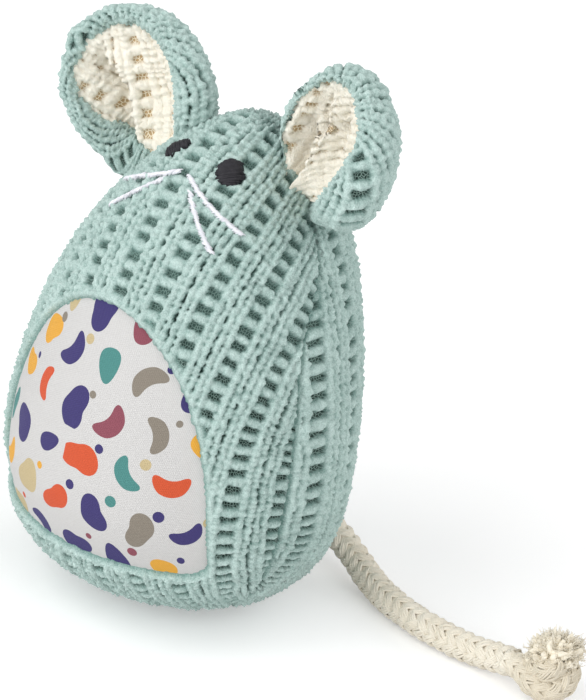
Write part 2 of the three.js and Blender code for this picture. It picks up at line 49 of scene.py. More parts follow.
# The mouse is seen from its front left and from above, from half a metre away through a long lens,
# and the camera leans over to one side by a few degrees.
CAMERA_AT = Vector((0.294548, -0.368475, 0.269673))
CAMERA_AIM = Vector((0.011751, 0.004929, 0.043852))
CAMERA_LEAN = math.radians(8.73)
CAMERA_SENSOR = 36.0
CAMERA_LENS = 167.1
bpy.ops.object.camera_add(location=CAMERA_AT)
camera = bpy.context.object
camera.name = "photo_camera"
camera.data.sensor_width = CAMERA_SENSOR
camera.data.lens = CAMERA_LENS
camera.rotation_mode = "QUATERNION"
camera_way = (CAMERA_AIM - CAMERA_AT).to_track_quat("-Z", "Y")
camera.rotation_quaternion = camera_way @ Quaternion((0, 0, 1), CAMERA_LEAN)
bpy.context.scene.camera = camera

# The tail is a soft braided cotton cord: eight bundles of four yarns wind one way and eight the other,
# over and under each other. It is sewn into the back of the body and lies on the ground to its left.
MM = 0.001
ROPE_RADIUS = 2.5
ROPE_STEP = 0.45
CORE_RADIUS = 1.7
CORE_SIDES = 12
YARN_RADIUS = 0.25
YARN_SIDES = 6
YARN_SPACING = 0.4
YARN_CROWN = 0.08
YARN_STRAY = 0.05
YARN_SWAY = (0.05, 1.1)
CARRIER_SWAY = (0.09, 2.7)
BRAID_CARRIERS = 8
BRAID_YARNS = 4
BRAID_PITCH = 15.5
BRAID_WAVE = 0.3
TAIL_EXIT = np.array([11.677, 18.363, 9.04])
TAIL_OUTWARD = np.array([0.406, 0.829, -0.385])
TAIL_ROUTE = [
    TAIL_EXIT, (14.4, 19.5, 7.4), (17.3, 19.9, 5.8), (20.3, 19.6, 4.3), (23.9, 18.5, 3.2),
    (28.6, 16.8, 2.7), (33.9, 15.3, 2.7), (39.7, 14.5, 2.7), (44.9, 14.5, 2.7), (49.8, 15.0, 2.8),
    (53.8, 15.4, 3.4), (57.2, 15.6, 4.0),
]
TAIL_LENGTH = 48.1
ROOT_DEPTH = 12.0
ROPE_TUCK_STEPS = 4
ROUTE_FINENESS = 40
STRIP_EDGE = 0.04
STRIP_END = 0.02
CAP_SPREAD = (0.008, 0.3)
CAP_SWIRL = 0.1
rng = np.random.default_rng(7)


def unit(vectors):
    return vectors / np.linalg.norm(vectors, axis=-1, keepdims=True)


def inset(margin, share):
    """A share from 0 to 1 that is drawn in by a margin at both ends."""
    return margin + (1 - 2 * margin) * share


def lengths_along(paths):
    """Millimetres from the first point of a path, or of each path, to every point of it."""
    steps = np.linalg.norm(np.diff(paths, axis=-2), axis=-1)
    return np.concatenate([np.zeros_like(steps[..., :1]), np.cumsum(steps, axis=-1)], -1)


def smooth_route(points, step=None, count=None):
    """One smooth curve through the points, in even steps of about that length or of that count."""
    points = np.array(points, float)
    knots = lengths_along(points)
    slopes = np.gradient(points, knots, axis=0)
    fine = np.linspace(0, knots[-1], ROUTE_FINENESS * len(points))
    at = np.clip(np.searchsorted(knots, fine, side="right") - 1, 0, len(knots) - 2)
    span = (knots[at + 1] - knots[at])[:, None]
    t = (fine - knots[at])[:, None] / span
    curve = (
        (2 * t ** 3 - 3 * t ** 2 + 1) * points[at]
        + (t ** 3 - 2 * t ** 2 + t) * span * slopes[at]
        + (3 * t ** 2 - 2 * t ** 3) * points[at + 1]
        + (t ** 3 - t ** 2) * span * slopes[at + 1]
    )
    along = lengths_along(curve)
    even = np.linspace(0, along[-1], count or round(along[-1] / step) + 1)
    return np.stack([np.interp(even, along, column) for column in curve.T], 1)


def carried_ways(paths):
    """Two directions across each path that turn as little as they can along it."""
    along = unit(np.gradient(paths, axis=1))
    across = np.zeros_like(along)
    first = np.eye(3)[np.abs(along[:, 0]).argmin(axis=1)]
    for i in range(paths.shape[1]):
        first = unit(first - (first * along[:, i]).sum(1, keepdims=True) * along[:, i])
        across[:, i] = first
    return across, np.cross(along, across)


def way_round(turn, across, aside):
    """The way out from a path at a turn round it, from across towards aside."""
    return np.cos(turn)[..., None] * across + np.sin(turn)[..., None] * aside


def lay_mesh(name, points, corners, counts, uv_maps=None):
    """A mesh from points in millimetres, its faces' corners one after another, and its UV maps."""
    mesh = bpy.data.meshes.new(name)
    mesh.vertices.add(len(points))
    mesh.vertices.foreach_set("co", (np.asarray(points) * MM).astype(np.float32).ravel())
    mesh.loops.add(len(corners))
    mesh.loops.foreach_set("vertex_index", np.asarray(corners, np.int32))
    mesh.polygons.add(len(counts))
    starts = np.concatenate([[0], np.cumsum(counts)[:-1]])
    mesh.polygons.foreach_set("loop_start", starts.astype(np.int32))
    for label, coordinates in (uv_maps or {}).items():
        layer = mesh.uv_layers.new(name=label)
        layer.data.foreach_set("uv", np.asarray(coordinates, np.float32).ravel())
    mesh.update(calc_edges=True)
    mesh.shade_smooth()
    piece = bpy.data.objects.new(name, mesh)
    bpy.context.collection.objects.link(piece)
    return piece


def yarn_piece(name, bundles):
    """One mesh of many yarns. A bundle is (paths, radii, sides), its paths yarns x steps x 3.
    The map yarn holds millimetres along and turns round, and each yarn has its own bake strip."""
    points, corners, counts, along_map, bake_map = [], [], [], [], []
    total = sum(len(bundle[0]) for bundle in bundles)
    offset = 0
    strip = 0
    for paths, radii, sides in bundles:
        yarns, steps = paths.shape[:2]
        across, aside = carried_ways(paths)
        turn = np.arange(sides) * 2 * math.pi / sides
        ring = way_round(turn, across[:, :, None], aside[:, :, None])
        radii = np.broadcast_to(np.asarray(radii, float), (yarns, steps))
        points.append((paths[:, :, None] + radii[:, :, None, None] * ring).reshape(-1, 3))
        yarn, step, side = np.indices((yarns, steps - 1, sides))
        lengths = lengths_along(paths)
        quad, span, strips = [], [], []
        for up, over in ((0, 0), (0, 1), (1, 1), (1, 0)):
            quad.append(offset + (yarn * steps + step + up) * sides + (side + over) % sides)
            span.append(np.stack([lengths[yarn, step + up], (side + over) / sides], -1))
            along_strip = inset(STRIP_END, (step + up) / (steps - 1))
            across_strip = (strip + yarn + inset(STRIP_EDGE, (side + over) / sides)) / total
            strips.append(np.stack([along_strip, across_strip], -1))
        corners.append(np.stack(quad, -1).ravel())
        along_map.append(np.stack(span, -2).reshape(-1, 2))
        bake_map.append(np.stack(strips, -2).reshape(-1, 2))
        counts.append(np.full(yarns * (steps - 1) * sides, 4))
        for end, order in ((0, np.arange(sides)[::-1]), (steps - 1, np.arange(sides))):
            cap = offset + (np.arange(yarns)[:, None] * steps + end) * sides + order
            corners.append(cap.ravel())
            around = np.stack([np.cos(turn[order]), np.sin(turn[order])], -1)
            at_end = np.full(yarns, inset(STRIP_END / 2, end / (steps - 1)))
            centre = np.stack([at_end, (strip + np.arange(yarns) + 0.5) / total], -1)
            bake_map.append((centre[:, None] + around * CAP_SPREAD / [1, total]).reshape(-1, 2))
            reached = np.repeat(lengths[:, end], sides)[:, None] * [1, 0]
            along_map.append(reached + np.tile(around * CAP_SWIRL, (yarns, 1)))
            counts.append(np.full(yarns, sides))
        offset += yarns * steps * sides
        strip += yarns
    maps = {"yarn": np.concatenate(along_map), "OFBake": np.concatenate(bake_map)}
    return lay_mesh(name, np.concatenate(points), np.concatenate(corners), np.concatenate(counts), maps)


def braid(route, start, radius):
    """The yarns of a braided cord along a route, whose first point is start millimetres along the cord.
    Each carrier floats over the other hand's carriers along every second line of the cord."""
    size = radius / ROPE_RADIUS
    across, aside = (ways[0] for ways in carried_ways(route[None]))
    length = start + lengths_along(route)
    middle = radius - (BRAID_WAVE + YARN_RADIUS) * size

    def swaying(turn, run):
        return turn * np.sin(length / run + rng.uniform(0, 2 * math.pi))

    yarns = []
    for hand in (1, -1):
        for carrier in range(BRAID_CARRIERS):
            drift = swaying(*CARRIER_SWAY)
            for yarn in range(BRAID_YARNS):
                off_middle = (yarn - (BRAID_YARNS - 1) / 2) * YARN_SPACING
                slack = drift + swaying(*YARN_SWAY)
                aside_by = off_middle * size / middle + slack
                turn = 2 * math.pi * (hand * length / BRAID_PITCH + carrier / BRAID_CARRIERS) + aside_by
                wave = hand * np.cos(BRAID_CARRIERS / 2 * (turn - aside_by))
                crown = YARN_CROWN * (1 - abs(off_middle))
                out = middle + (BRAID_WAVE * wave + crown) * size + YARN_STRAY * rng.standard_normal()
                yarns.append(route + out[:, None] * way_round(turn, across, aside))
    return np.array(yarns)


def cord_piece(name, route, start, radius=ROPE_RADIUS):
    """A stretch of the braided cord with its core."""
    size = radius / ROPE_RADIUS
    return yarn_piece(name, [
        (braid(route, start, radius), YARN_RADIUS * size, YARN_SIDES),
        (route[None], CORE_RADIUS * size, CORE_SIDES),
    ])


root_depths = np.array([ROOT_DEPTH, ROOT_DEPTH / 2, 0])
root_route = smooth_route(TAIL_EXIT - root_depths[:, None] * TAIL_OUTWARD, ROPE_STEP)
rope_route = smooth_route(TAIL_ROUTE, ROPE_STEP)
rope_tuck = ROPE_STEP * np.arange(ROPE_TUCK_STEPS, 0, -1)
rope_line = np.concatenate([TAIL_EXIT - rope_tuck[:, None] * TAIL_OUTWARD, rope_route])
tail_root = cord_piece("tail_root_braid", root_route, -ROOT_DEPTH)
tail_rope = cord_piece("tail_rope_braid", rope_line, -rope_tuck[0])

# The far end of the cord is tied in one tight overhand knot, and its cut end is frayed out into a soft
# round tuft of loose cotton yarns that stands up over the knot. Both are laid out by how far a point
# lies to the right, up and nearer as the camera sees it.
VIEW_AXES = np.array([(0.748, 0.649, 0.137), (-0.380, 0.2505, 0.890), (0.544, -0.718, 0.434)])
KNOT_MIDDLE = np.array([62.411, 15.906, 4.9])
KNOT_TURNS = [
    (-5.4, 1.5, -3.1), (-3.3, 0.4, -1.6), (-1.4, -1.9, 0.6), (1.3, -2.9, 1.3), (3.7, -1.3, 0.5),
    (3.9, 1.0, -1.3), (1.6, 2.2, -2.5), (-0.9, 1.4, -1.7), (-0.4, 0.3, 0.6), (1.1, 0.6, 1.9),
    (2.4, 1.9, 1.7),
]
KNOT_CORD_RADIUS = 2.15
KNOT_STEP = 0.4
knot_route = smooth_route(KNOT_MIDDLE + np.array(KNOT_TURNS) @ VIEW_AXES, KNOT_STEP)
tail_knot = cord_piece("tail_knot_braid", knot_route, TAIL_LENGTH, KNOT_CORD_RADIUS)

TUFT_MIDDLE = KNOT_MIDDLE + np.array([2.1, 3.1, 0.3]) @ VIEW_AXES
TUFT_FOOT = TUFT_MIDDLE + np.array([-0.6, -1.6, 0.0]) @ VIEW_AXES
TUFT_FOOT_SPREAD = 0.8
TUFT_HALF = (4.9, 3.4, 4.1)
TUFT_TREND = (0.15, 0.75, 0.1)
TUFT_STEPS = 10
TUFT_WAVES = 6.5
LOCKS = 120
LOCK_SHARES = (0, 0.5, 0.82, 0.94, 1.0)
LOCK_RADII = (0.3, 0.5, 0.54, 0.4, 0.1)
LOCK_SPREAD = (0.75, 1.2)
LOCK_LUMPS = (0.85, 1.15)
LOCK_SIDES = 9
FIBRE_CLUMPS = 90
FIBRES_EACH = 10
FIBRE_RADIUS = 0.055
FIBRE_SIDES = 4
tuft_share = np.linspace(0, 1, TUFT_STEPS)


def tuft_lines(clumps, each, reach, loose, curl):
    """Curling lines in clumps from the cord's cut end out to the tuft's round outside."""
    count = clumps * each
    ways = np.repeat(unit(rng.standard_normal((clumps, 3)) + TUFT_TREND), each, 0)
    ways = unit(ways + loose * rng.standard_normal((count, 3)))
    ends = TUFT_MIDDLE + (ways * TUFT_HALF * rng.uniform(*reach, (count, 1))) @ VIEW_AXES
    feet = TUFT_FOOT + TUFT_FOOT_SPREAD * rng.standard_normal((count, 3))
    begun = rng.uniform(0, 2 * math.pi, (count, 1))
    swing = np.sin(TUFT_WAVES * tuft_share + begun) * tuft_share * curl
    aside = unit(rng.standard_normal((count, 3)))
    straight = feet[:, None] * (1 - tuft_share)[:, None] + ends[:, None] * tuft_share[:, None]
    return straight + aside[:, None] * swing[..., None]


lock_radii = np.interp(tuft_share, LOCK_SHARES, LOCK_RADII) * rng.uniform(*LOCK_SPREAD, (LOCKS, 1))
lock_radii = lock_radii * rng.uniform(*LOCK_LUMPS, (LOCKS, TUFT_STEPS))
locks = tuft_lines(LOCKS, 1, reach=(0.7, 1.02), loose=0.0, curl=0.8)
fibres = tuft_lines(FIBRE_CLUMPS, FIBRES_EACH, reach=(0.75, 1.1), loose=0.2, curl=1.2)
tail_tuft = yarn_piece("tail_tuft_yarns", [
    (locks, lock_radii, LOCK_SIDES),
    (fibres, FIBRE_RADIUS, FIBRE_SIDES),
])


class Wire:
    """A socket of a material's nodes that takes part in sums, and makes further nodes beside itself."""

    def __init__(self, tree, socket=None):
        self.tree = tree
        self.socket = socket

    def node(self, kind, settings=None, inputs=None, output=0):
        made = self.tree.nodes.new(kind)
        for name, value in (settings or {}).items():
            if name == "stops":
                while len(made.color_ramp.elements) < len(value):
                    made.color_ramp.elements.new(1.0)
                for element, (place, colour) in zip(made.color_ramp.elements, value):
                    element.position = place
                    element.color = (*colour, 1.0)
            elif name == "interpolation":
                made.color_ramp.interpolation = value
            else:
                setattr(made, name, value)
        for name, value in (inputs or {}).items():
            if isinstance(value, Wire):
                self.tree.links.new(value.socket, made.inputs[name])
            else:
                made.inputs[name].default_value = value
        return Wire(self.tree, made.outputs[output])

    def beside(self, output):
        """Another output of the same node."""
        return Wire(self.tree, self.socket.node.outputs[output])

    def math(self, operation, *others):
        return self.node("ShaderNodeMath", {"operation": operation}, dict(enumerate((self, *others))))

    def __add__(self, other):
        return self.math("ADD", other)

    def __sub__(self, other):
        return self.math("SUBTRACT", other)

    def __rsub__(self, other):
        return self.node("ShaderNodeMath", {"operation": "SUBTRACT"}, {0: other, 1: self})

    def __mul__(self, other):
        return self.math("MULTIPLY", other)

    __radd__ = __add__
    __rmul__ = __mul__

    def noise(self, scale, detail, distortion=0.0):
        """Smooth noise at the places that this wire gives, with about scale bumps a unit."""
        inputs = {"Vector": self, "Scale": scale, "Detail": detail, "Distortion": distortion}
        return self.node("ShaderNodeTexNoise", inputs=inputs)

    def mix(self, low, high, blend="MIX"):
        """A colour from low to high by this wire's value."""
        low, high = (colour if isinstance(colour, Wire) else (*colour, 1.0) for colour in (low, high))
        settings = {"data_type": "RGBA", "blend_type": blend}
        return self.node("ShaderNodeMix", settings, {0: self, 6: low, 7: high}, 2)


def srgb(red, green, blue):
    """A colour that is written as it looks on a screen, from 0 to 255."""
    def linear(value):
        value = value / 255
        return value / 12.92 if value <= 0.04045 else ((value + 0.055) / 1.055) ** 2.4
    return (linear(red), linear(green), linear(blue))


def new_finish(name, roughness, sheen=0.0, sheen_tint=(1, 1, 1)):
    """A cloth or thread finish: its material, a wire of its Object coordinates, and its shader."""
    material = bpy.data.materials.new(name)
    material.use_nodes = True
    shader = material.node_tree.nodes["Principled BSDF"]
    shader.inputs["Roughness"].default_value = roughness
    shader.inputs["Specular IOR Level"].default_value = 0.2
    shader.inputs["Sheen Weight"].default_value = sheen
    shader.inputs["Sheen Roughness"].default_value = 0.45
    shader.inputs["Sheen Tint"].default_value = (*sheen_tint, 1)
    place = Wire(material.node_tree).node("ShaderNodeTexCoord", output="Object")
    return material, place, shader


def feed(wire, shader, socket):
    wire.tree.links.new(wire.socket, shader.inputs[socket])


def emboss(height, shader, strength, distance):
    """The fine relief of a finish, with its distance in millimetres."""
    inputs = {"Strength": strength, "Distance": distance * MM, "Height": height}
    feed(height.node("ShaderNodeBump", inputs=inputs), shader, "Normal")


COTTON_LIGHT = srgb(242, 237, 225)
COTTON_DARK = srgb(221, 211, 191)
# The brown that the knot's cotton is mixed towards, as painted shade.
SHADED_COTTON = srgb(176, 160, 126)
COTTON_TWIST = 0.7


def cotton_finish(name, light=COTTON_LIGHT, dark=COTTON_DARK, painted_shade=0.0):
    """Undyed cotton: fibres that wind round each yarn, soft patches of tone, and a painted shade that mixes
    the yarn towards brown from a little way along it.
    """
    material, place, shader = new_finish(name, roughness=0.85, sheen=0.25)
    yarn = place.node("ShaderNodeUVMap", {"uv_map": "yarn"})
    along = yarn.node("ShaderNodeSeparateXYZ", inputs={0: yarn})
    around = along.beside(1)
    wound = (along * COTTON_TWIST + around * 2).math("FRACT")
    ply = (wound - 0.5).math("ABSOLUTE") * 2
    patches = place.noise(scale=260, detail=3)
    fine = place.noise(scale=3600, detail=2)
    # The grooves between the wound fibres get painted shade: their tone falls a little.
    tone = patches * 0.9 + fine * 0.35 - 0.1 - ply * 0.12
    # Painted shade: past its first millimetres the yarn is mixed this share of the way to brown.
    shaded_share = (along * 0.12).math("MINIMUM", 1.0) * painted_shade
    feed(shaded_share.mix(tone.mix(dark, light), SHADED_COTTON), shader, "Base Color")
    emboss(fine * 0.6 - ply * 0.5, shader, strength=0.5, distance=0.2)
    return material


rope_finish = cotton_finish("braided_cotton")
puff_finish = cotton_finish("frayed_cotton", light=srgb(247, 241, 227), dark=srgb(234, 224, 202))
# The knot is given painted shade: its cotton is turned brownish.
knot_finish = cotton_finish("knotted_cotton", painted_shade=0.32)
for piece, finish in ((tail_root, rope_finish), (tail_rope, rope_finish), (tail_knot, knot_finish),
                      (tail_tuft, puff_finish)):
    piece.data.materials.append(finish)
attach(tail_root, "body")
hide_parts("tail_root")
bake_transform(tail_rope)
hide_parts("tail_rope_base", "tail_rope_end")
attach(tail_knot, "tail_end")
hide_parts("tail_knot")
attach(tail_tuft, "tail_end")
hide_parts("tail_tuft")

# The body is cut from sage green chenille knit, a front panel and a back panel with the ribs running
# up and down each, sewn together at the sides and over the head, and stuffed firm.
BODY_HEIGHT = 81.6
BODY_LEAN = math.radians(6.9)
BODY_BOW = 3.0
BODY_WIDTHS = (29.3, 11.7, 2.0, 1.1)
BODY_DEPTHS = (31.0, 10.6, 4.4, 2.1)
BODY_SEAT = np.array([0, 6.473, 0.104])
SEAT_BARE = 1.2
SEAM_BELLY = math.radians(77)
SEAM_HEAD = math.radians(90)
SEAM_TURNS = (math.radians(100), math.radians(128))
SEAM_DEPTH = 0.85
SEAM_REACH = 0.55
SEAM_STITCH = 0.8
SEAM_STITCH_PULL = 0.5
PUCKER_REACH = 6.0
PUCKER_PITCH = 3.6
PUCKER_RUN = 8.0
PUCKER_PULL = 0.7
PUCKER_RISE = 0.4
CLOTH_STEP = 0.24
SPINE_STEPS = 4000
RING_STEPS = 500
POLE_GAP = 1e-4
SMALL = 1e-3
NOISE_SIZE = 256
noise_table = rng.uniform(-1, 1, (NOISE_SIZE, NOISE_SIZE))


def eased(share):
    share = np.clip(share, 0, 1)
    return share * share * (3 - 2 * share)


def ramp(value, start, end):
    """From 0 at start to 1 at end, and level beyond them."""
    return eased((value - start) / (end - start))


def uneven(x, y):
    """Smooth noise from -1 to 1 with one bump a unit."""
    x, y = np.broadcast_arrays(x, y)
    left, low = np.floor(x).astype(int), np.floor(y).astype(int)
    s, t = eased(x - left), eased(y - low)
    left, low, right, high = (k & (NOISE_SIZE - 1) for k in (left, low, left + 1, low + 1))
    lower = noise_table[left, low] * (1 - s) + noise_table[right, low] * s
    upper = noise_table[left, high] * (1 - s) + noise_table[right, high] * s
    return lower * (1 - t) + upper * t


def waver(lane, along, size, run):
    """Unevenness of that size along one lane of the knit, with a bump every run of millimetres."""
    return size * uneven(lane, along / run)


def swell(up, mean, taper, fullness, roundness):
    return np.sin(up) * (mean + taper * np.cos(up) + fullness * np.cos(2 * up) + roundness * np.cos(3 * up))


def body_skin(up, turn):
    """A point of the stuffed body: up from its seat to its crown, turned from its front to its left."""
    share = (1 - np.cos(up)) / 2
    x = swell(up, *BODY_WIDTHS) * np.sin(turn)
    y = -swell(up, *BODY_DEPTHS) * np.cos(turn) - 4 * BODY_BOW * share * (1 - share)
    z = BODY_HEIGHT * share
    back = y * math.cos(BODY_LEAN) + z * math.sin(BODY_LEAN)
    rise = z * math.cos(BODY_LEAN) - y * math.sin(BODY_LEAN)
    return np.stack(np.broadcast_arrays(x, back, rise), -1) - BODY_SEAT


def skin_ways(up, turn):
    """How the skin runs round and up at a point, in millimetres a radian, and its way out."""
    around = (body_skin(up, turn + SMALL) - body_skin(up, turn - SMALL)) / (2 * SMALL)
    upward = (body_skin(up + SMALL, turn) - body_skin(up - SMALL, turn)) / (2 * SMALL)
    return around, upward, unit(np.cross(around, upward))


def seam_turn(up):
    return SEAM_BELLY + (SEAM_HEAD - SEAM_BELLY) * ramp(up, *SEAM_TURNS)


RIB_REPEAT = 8.5
GROUND = -1.45
KNIT_LIFT = 0.15
KNIT_DEPTH = 1.4
WALES = [(2.08, 0.79, 0.0), (3.55, 0.79, -0.05)]
CLOSED_WALE = (0.7, 0.8, 0.0)
WALE_DEPTH = 1.05
WALE_DRAW = 0.2
WALE_SWAY = (0.13, 2.3)
WALE_WOBBLE = (0.13, 0.9)
WALE_LUMPS = (0.18, 0.7)
WALE_BUMPS = (0.18, 0.9)
BEAD_PITCH = 1.35
BEAD_STRAY = (6.0, 3.0)
BEAD_SWELL = 0.11
BEAD_RISE = 0.16
COURSE_DRIFT = (0.35, 7.0)
COURSE_JITTER = (0.25, 2.2)
RUNG_PITCH = 3.1
RUNG_HALF = 1.0
RUNG_REACH = 1.7
RUNG_TOP = -0.12
RUNG_SAG = (0.28, 1.5)
RUNG_LUMPS = 0.14
RUNG_LUMP_RUN = 0.9
RUNG_GRAIN = 0.5
PILE_CRUMBS = [(0, 0.15, 0.42, 0.85), (50, 0.11, 0.26, 0.36)]
PILE_RISE = 0.6
GROUND_BARE = 0.7


def chenille(u, v, wales=WALES, rung_half=RUNG_HALF, ground=GROUND, crumbly=1.0, one_ladder=False):
    """Height of the knit over its cloth, and how far its open ground shows, u across and v along the ribs:
    four fat nubby wales and one open ladder of pillow rungs a repeat. With one_ladder, two more wales
    close the ladder of every repeat but the middle one."""
    column = np.floor(u / RIB_REPEAT + 0.5)
    off_ladder = u - column * RIB_REPEAT
    course = v + waver(3.7 * column, v, *COURSE_DRIFT) + waver(1.9 * column + 40, v, *COURSE_JITTER)
    rung = course / RUNG_PITCH
    closed = one_ladder & (column != 0)
    height = np.full(u.shape, ground)
    for kind, (place, radius, top) in enumerate(wales + [CLOSED_WALE] * one_ladder):
        for hand in (-1, 1):
            strand = 11.3 * column + 3.1 * kind + 1.7 * hand
            centre = hand * (place - kind * WALE_DRAW * (0.5 + 0.5 * np.cos(2 * math.pi * rung)))
            centre = centre + waver(strand, v, *WALE_SWAY) + waver(strand + 15, v, *WALE_WOBBLE)
            beads = np.cos(2 * math.pi * v / BEAD_PITCH + waver(strand + 90, v, *BEAD_STRAY))
            thick = radius * (1 + BEAD_SWELL * beads + waver(strand + 30, v, *WALE_LUMPS))
            off = np.clip(np.abs(off_ladder - centre) / thick, 0, 1)
            bulge = top + WALE_DEPTH * (np.sqrt(1 - off ** 2) - 1)
            bulge = bulge + BEAD_RISE * beads + waver(strand + 60, v, *WALE_BUMPS)
            here = (off < 1) & (closed | (kind < len(wales)))
            height = np.maximum(height, np.where(here, bulge, ground))
    step = (rung - np.floor(rung) - 0.5) * RUNG_PITCH
    lumps = RUNG_LUMPS * uneven(off_ladder / RUNG_LUMP_RUN + 7 * column, np.floor(rung) * 1.7)
    tall = rung_half * (1 + lumps)
    off = np.clip(np.abs(step) / tall, 0, 1)
    sag, sag_reach = RUNG_SAG
    pillow = RUNG_TOP - sag * (off_ladder / sag_reach) ** 2 + tall * (np.sqrt(1 - off ** 2) - 1)
    pillow = pillow + RUNG_LUMPS * uneven(off_ladder / RUNG_GRAIN + 13 * column, v / RUNG_GRAIN)
    here = (off < 1) & (np.abs(off_ladder) < RUNG_REACH) & ~closed
    height = np.maximum(height, np.where(here, pillow, ground))
    shown = 1 - eased((height - ground) / PILE_RISE)
    crumbs = sum(size * uneven(u / wide + salt, v / long) for salt, size, wide, long in PILE_CRUMBS)
    return height + crumbly * crumbs * (1 - GROUND_BARE * shown), shown


FRONT_SPACING = (6.55, 0.0029, 9.2)
FRONT_SHIFT = -0.13
FRONT_FAN = 0.0085
FRONT_FAN_LOW = -0.2
FRONT_FAN_RISE = (50.0, 62.0)
FRONT_FAN_MIDDLE = 8.0
FRONT_FAN_RUN = 70.0
BACK_SPACING = (9.2, 0.06)
BACK_SHIFT = 0.28
BACK_GATHER = 0.75
RIB_REACH = 70.0
RIB_COUNT_STEP = 0.1


def rib_places(back, u, v, mean):
    """Where each point lies in the knit as it was cut: across its ribs, and along them. The front's ribs
    spread as they climb, and the back's follow the narrowing of the body above its fullest ring."""
    reach = np.linspace(0, RIB_REACH, round(RIB_REACH / RIB_COUNT_STEP) + 1)
    if back:
        gather = np.where(np.arange(len(v)) > mean.argmax(), (mean.max() / mean) ** BACK_GATHER, 1.0)
        flat = u * gather[:, None]
        least, growth = BACK_SPACING
        spacing = least + growth * reach
        lean = -0.5 * u ** 2 * (np.gradient(gather, v) / gather)[:, None]
        shift = BACK_SHIFT
    else:
        high = ramp(v, *FRONT_FAN_RISE)
        fan = FRONT_FAN * (high + FRONT_FAN_LOW * (1 - high))
        grown = np.cumsum(fan * np.gradient(v))
        grown = grown - np.interp(FRONT_FAN_RUN, v, grown)
        flat = FRONT_FAN_MIDDLE + (u - FRONT_FAN_MIDDLE) * np.exp(-grown)[:, None]
        least, growth, most = FRONT_SPACING
        spacing = np.minimum(least + growth * reach ** 2, most)
        lean = fan[:, None] * (0.5 * u ** 2 - FRONT_FAN_MIDDLE * u)
        shift = FRONT_SHIFT
    count = np.cumsum(RIB_COUNT_STEP / spacing)
    ribs = np.sign(flat) * np.interp(np.abs(flat), reach, count - count[0]) + shift
    turn_in = -0.5 * u ** 2 * (np.gradient(mean, v) / mean)[:, None]
    return ribs * RIB_REPEAT, v[:, None] + turn_in + lean


def cloth_net(back, step):
    """A net over one side of the body: even rows from seat to crown, and columns a fixed way from the
    middle. A column that would pass the seam ends on it, so its points there become one."""
    middle = math.pi if back else 0.0
    fine = np.linspace(POLE_GAP, math.pi - POLE_GAP, SPINE_STEPS)
    run = lengths_along(body_skin(fine, 0.0))
    rows = round(run[-1] / step) + 1
    climb = np.linspace(0, run[-1], rows)
    up = np.interp(climb, run, fine)
    v = climb - SEAT_BARE
    half = math.pi - seam_turn(up) if back else seam_turn(up)
    turns = half[:, None] * np.linspace(0, 1, RING_STEPS)
    arc = lengths_along(body_skin(up[:, None], middle + turns))
    reach = arc[:, -1:]
    columns = int(reach.max() / step) + 2
    spots = np.arange(-columns, columns + 1)
    u = np.clip(spots * step, -reach, reach)
    turn = np.empty_like(u)
    for i in range(rows):
        turn[i] = np.sign(u[i]) * np.interp(np.abs(u[i]), arc[i], turns[i])
    last = np.floor(reach / step).astype(int) + 1
    index = np.arange(u.size).reshape(u.shape)
    index = np.take_along_axis(index, np.clip(spots, -last, last) + columns, axis=1)
    ribs, along = rib_places(back, u, v, reach[:, 0] / half)
    return SimpleNamespace(up=np.broadcast_to(up[:, None], u.shape), turn=middle + turn, index=index,
                           u=u, v=v[:, None], ribs=ribs, along=along, edge=reach - np.abs(u))


def cloth_faces(index, keep=True):
    """Corners and counts of the net's faces, with the doubled corners at a seam left out."""
    a, b, c, d = index[:-1, :-1], index[:-1, 1:], index[1:, 1:], index[1:, :-1]
    whole = keep & (a != b) & (c != d)
    low = keep & (a == b) & (c != d)
    high = keep & (a != b) & (c == d)
    quads = np.stack([a, b, c, d], -1)[whole]
    three = np.concatenate([np.stack([a, c, d], -1)[low], np.stack([a, b, c], -1)[high]])
    corners = np.concatenate([quads.ravel(), three.ravel()])
    return corners, np.concatenate([np.full(len(quads), 4), np.full(len(three), 3)])


def knit_piece(name, points, pattern, bake, faces, shown, depth):
    """A net of knit with its pattern's map, its bake map, and how open and how deep it is at each point."""
    corners, counts = faces
    used, ordered = np.unique(corners, return_inverse=True)
    maps = {"cloth": pattern.reshape(-1, 2)[corners], "OFBake": bake.reshape(-1, 2)[corners]}
    piece = lay_mesh(name, points.reshape(-1, 3)[used], ordered, counts, maps)
    for label, values in (("open", shown), ("deep", np.clip(depth / KNIT_DEPTH, 0, 1))):
        layer = piece.data.attributes.new(label, "FLOAT", "POINT")
        layer.data.foreach_set("value", values.ravel()[used].astype(np.float32))
    return piece


PATCH_HALF_WIDTH = 22.5
PATCH_HEM = 15.3
PATCH_SHOULDER = 20.0
PATCH_TOP = 55.8
PATCH_CORNER = 3.0
PATCH_SLOPES = (0.35, 1.5)
HEM_TOP = 0.1
HEM_FALL = 0.9
HEM_MIDDLE = 0.45
HEM_HALF = 0.85
HEM_LUMPS = (0.3, 0.75)
HEM_BACKING = (0.7, 0.9)
HEM_BACKING_REACH = (2.0, 2.8)
HEM_TUCK = 2.4
HEM_TUCK_REACH = (-1.2, 0.8)
SNUG_HEIGHTS = (42.0, 66.0)
SNUG_SHARE = 0.4
PANEL_BAKE_EDGE = 0.005


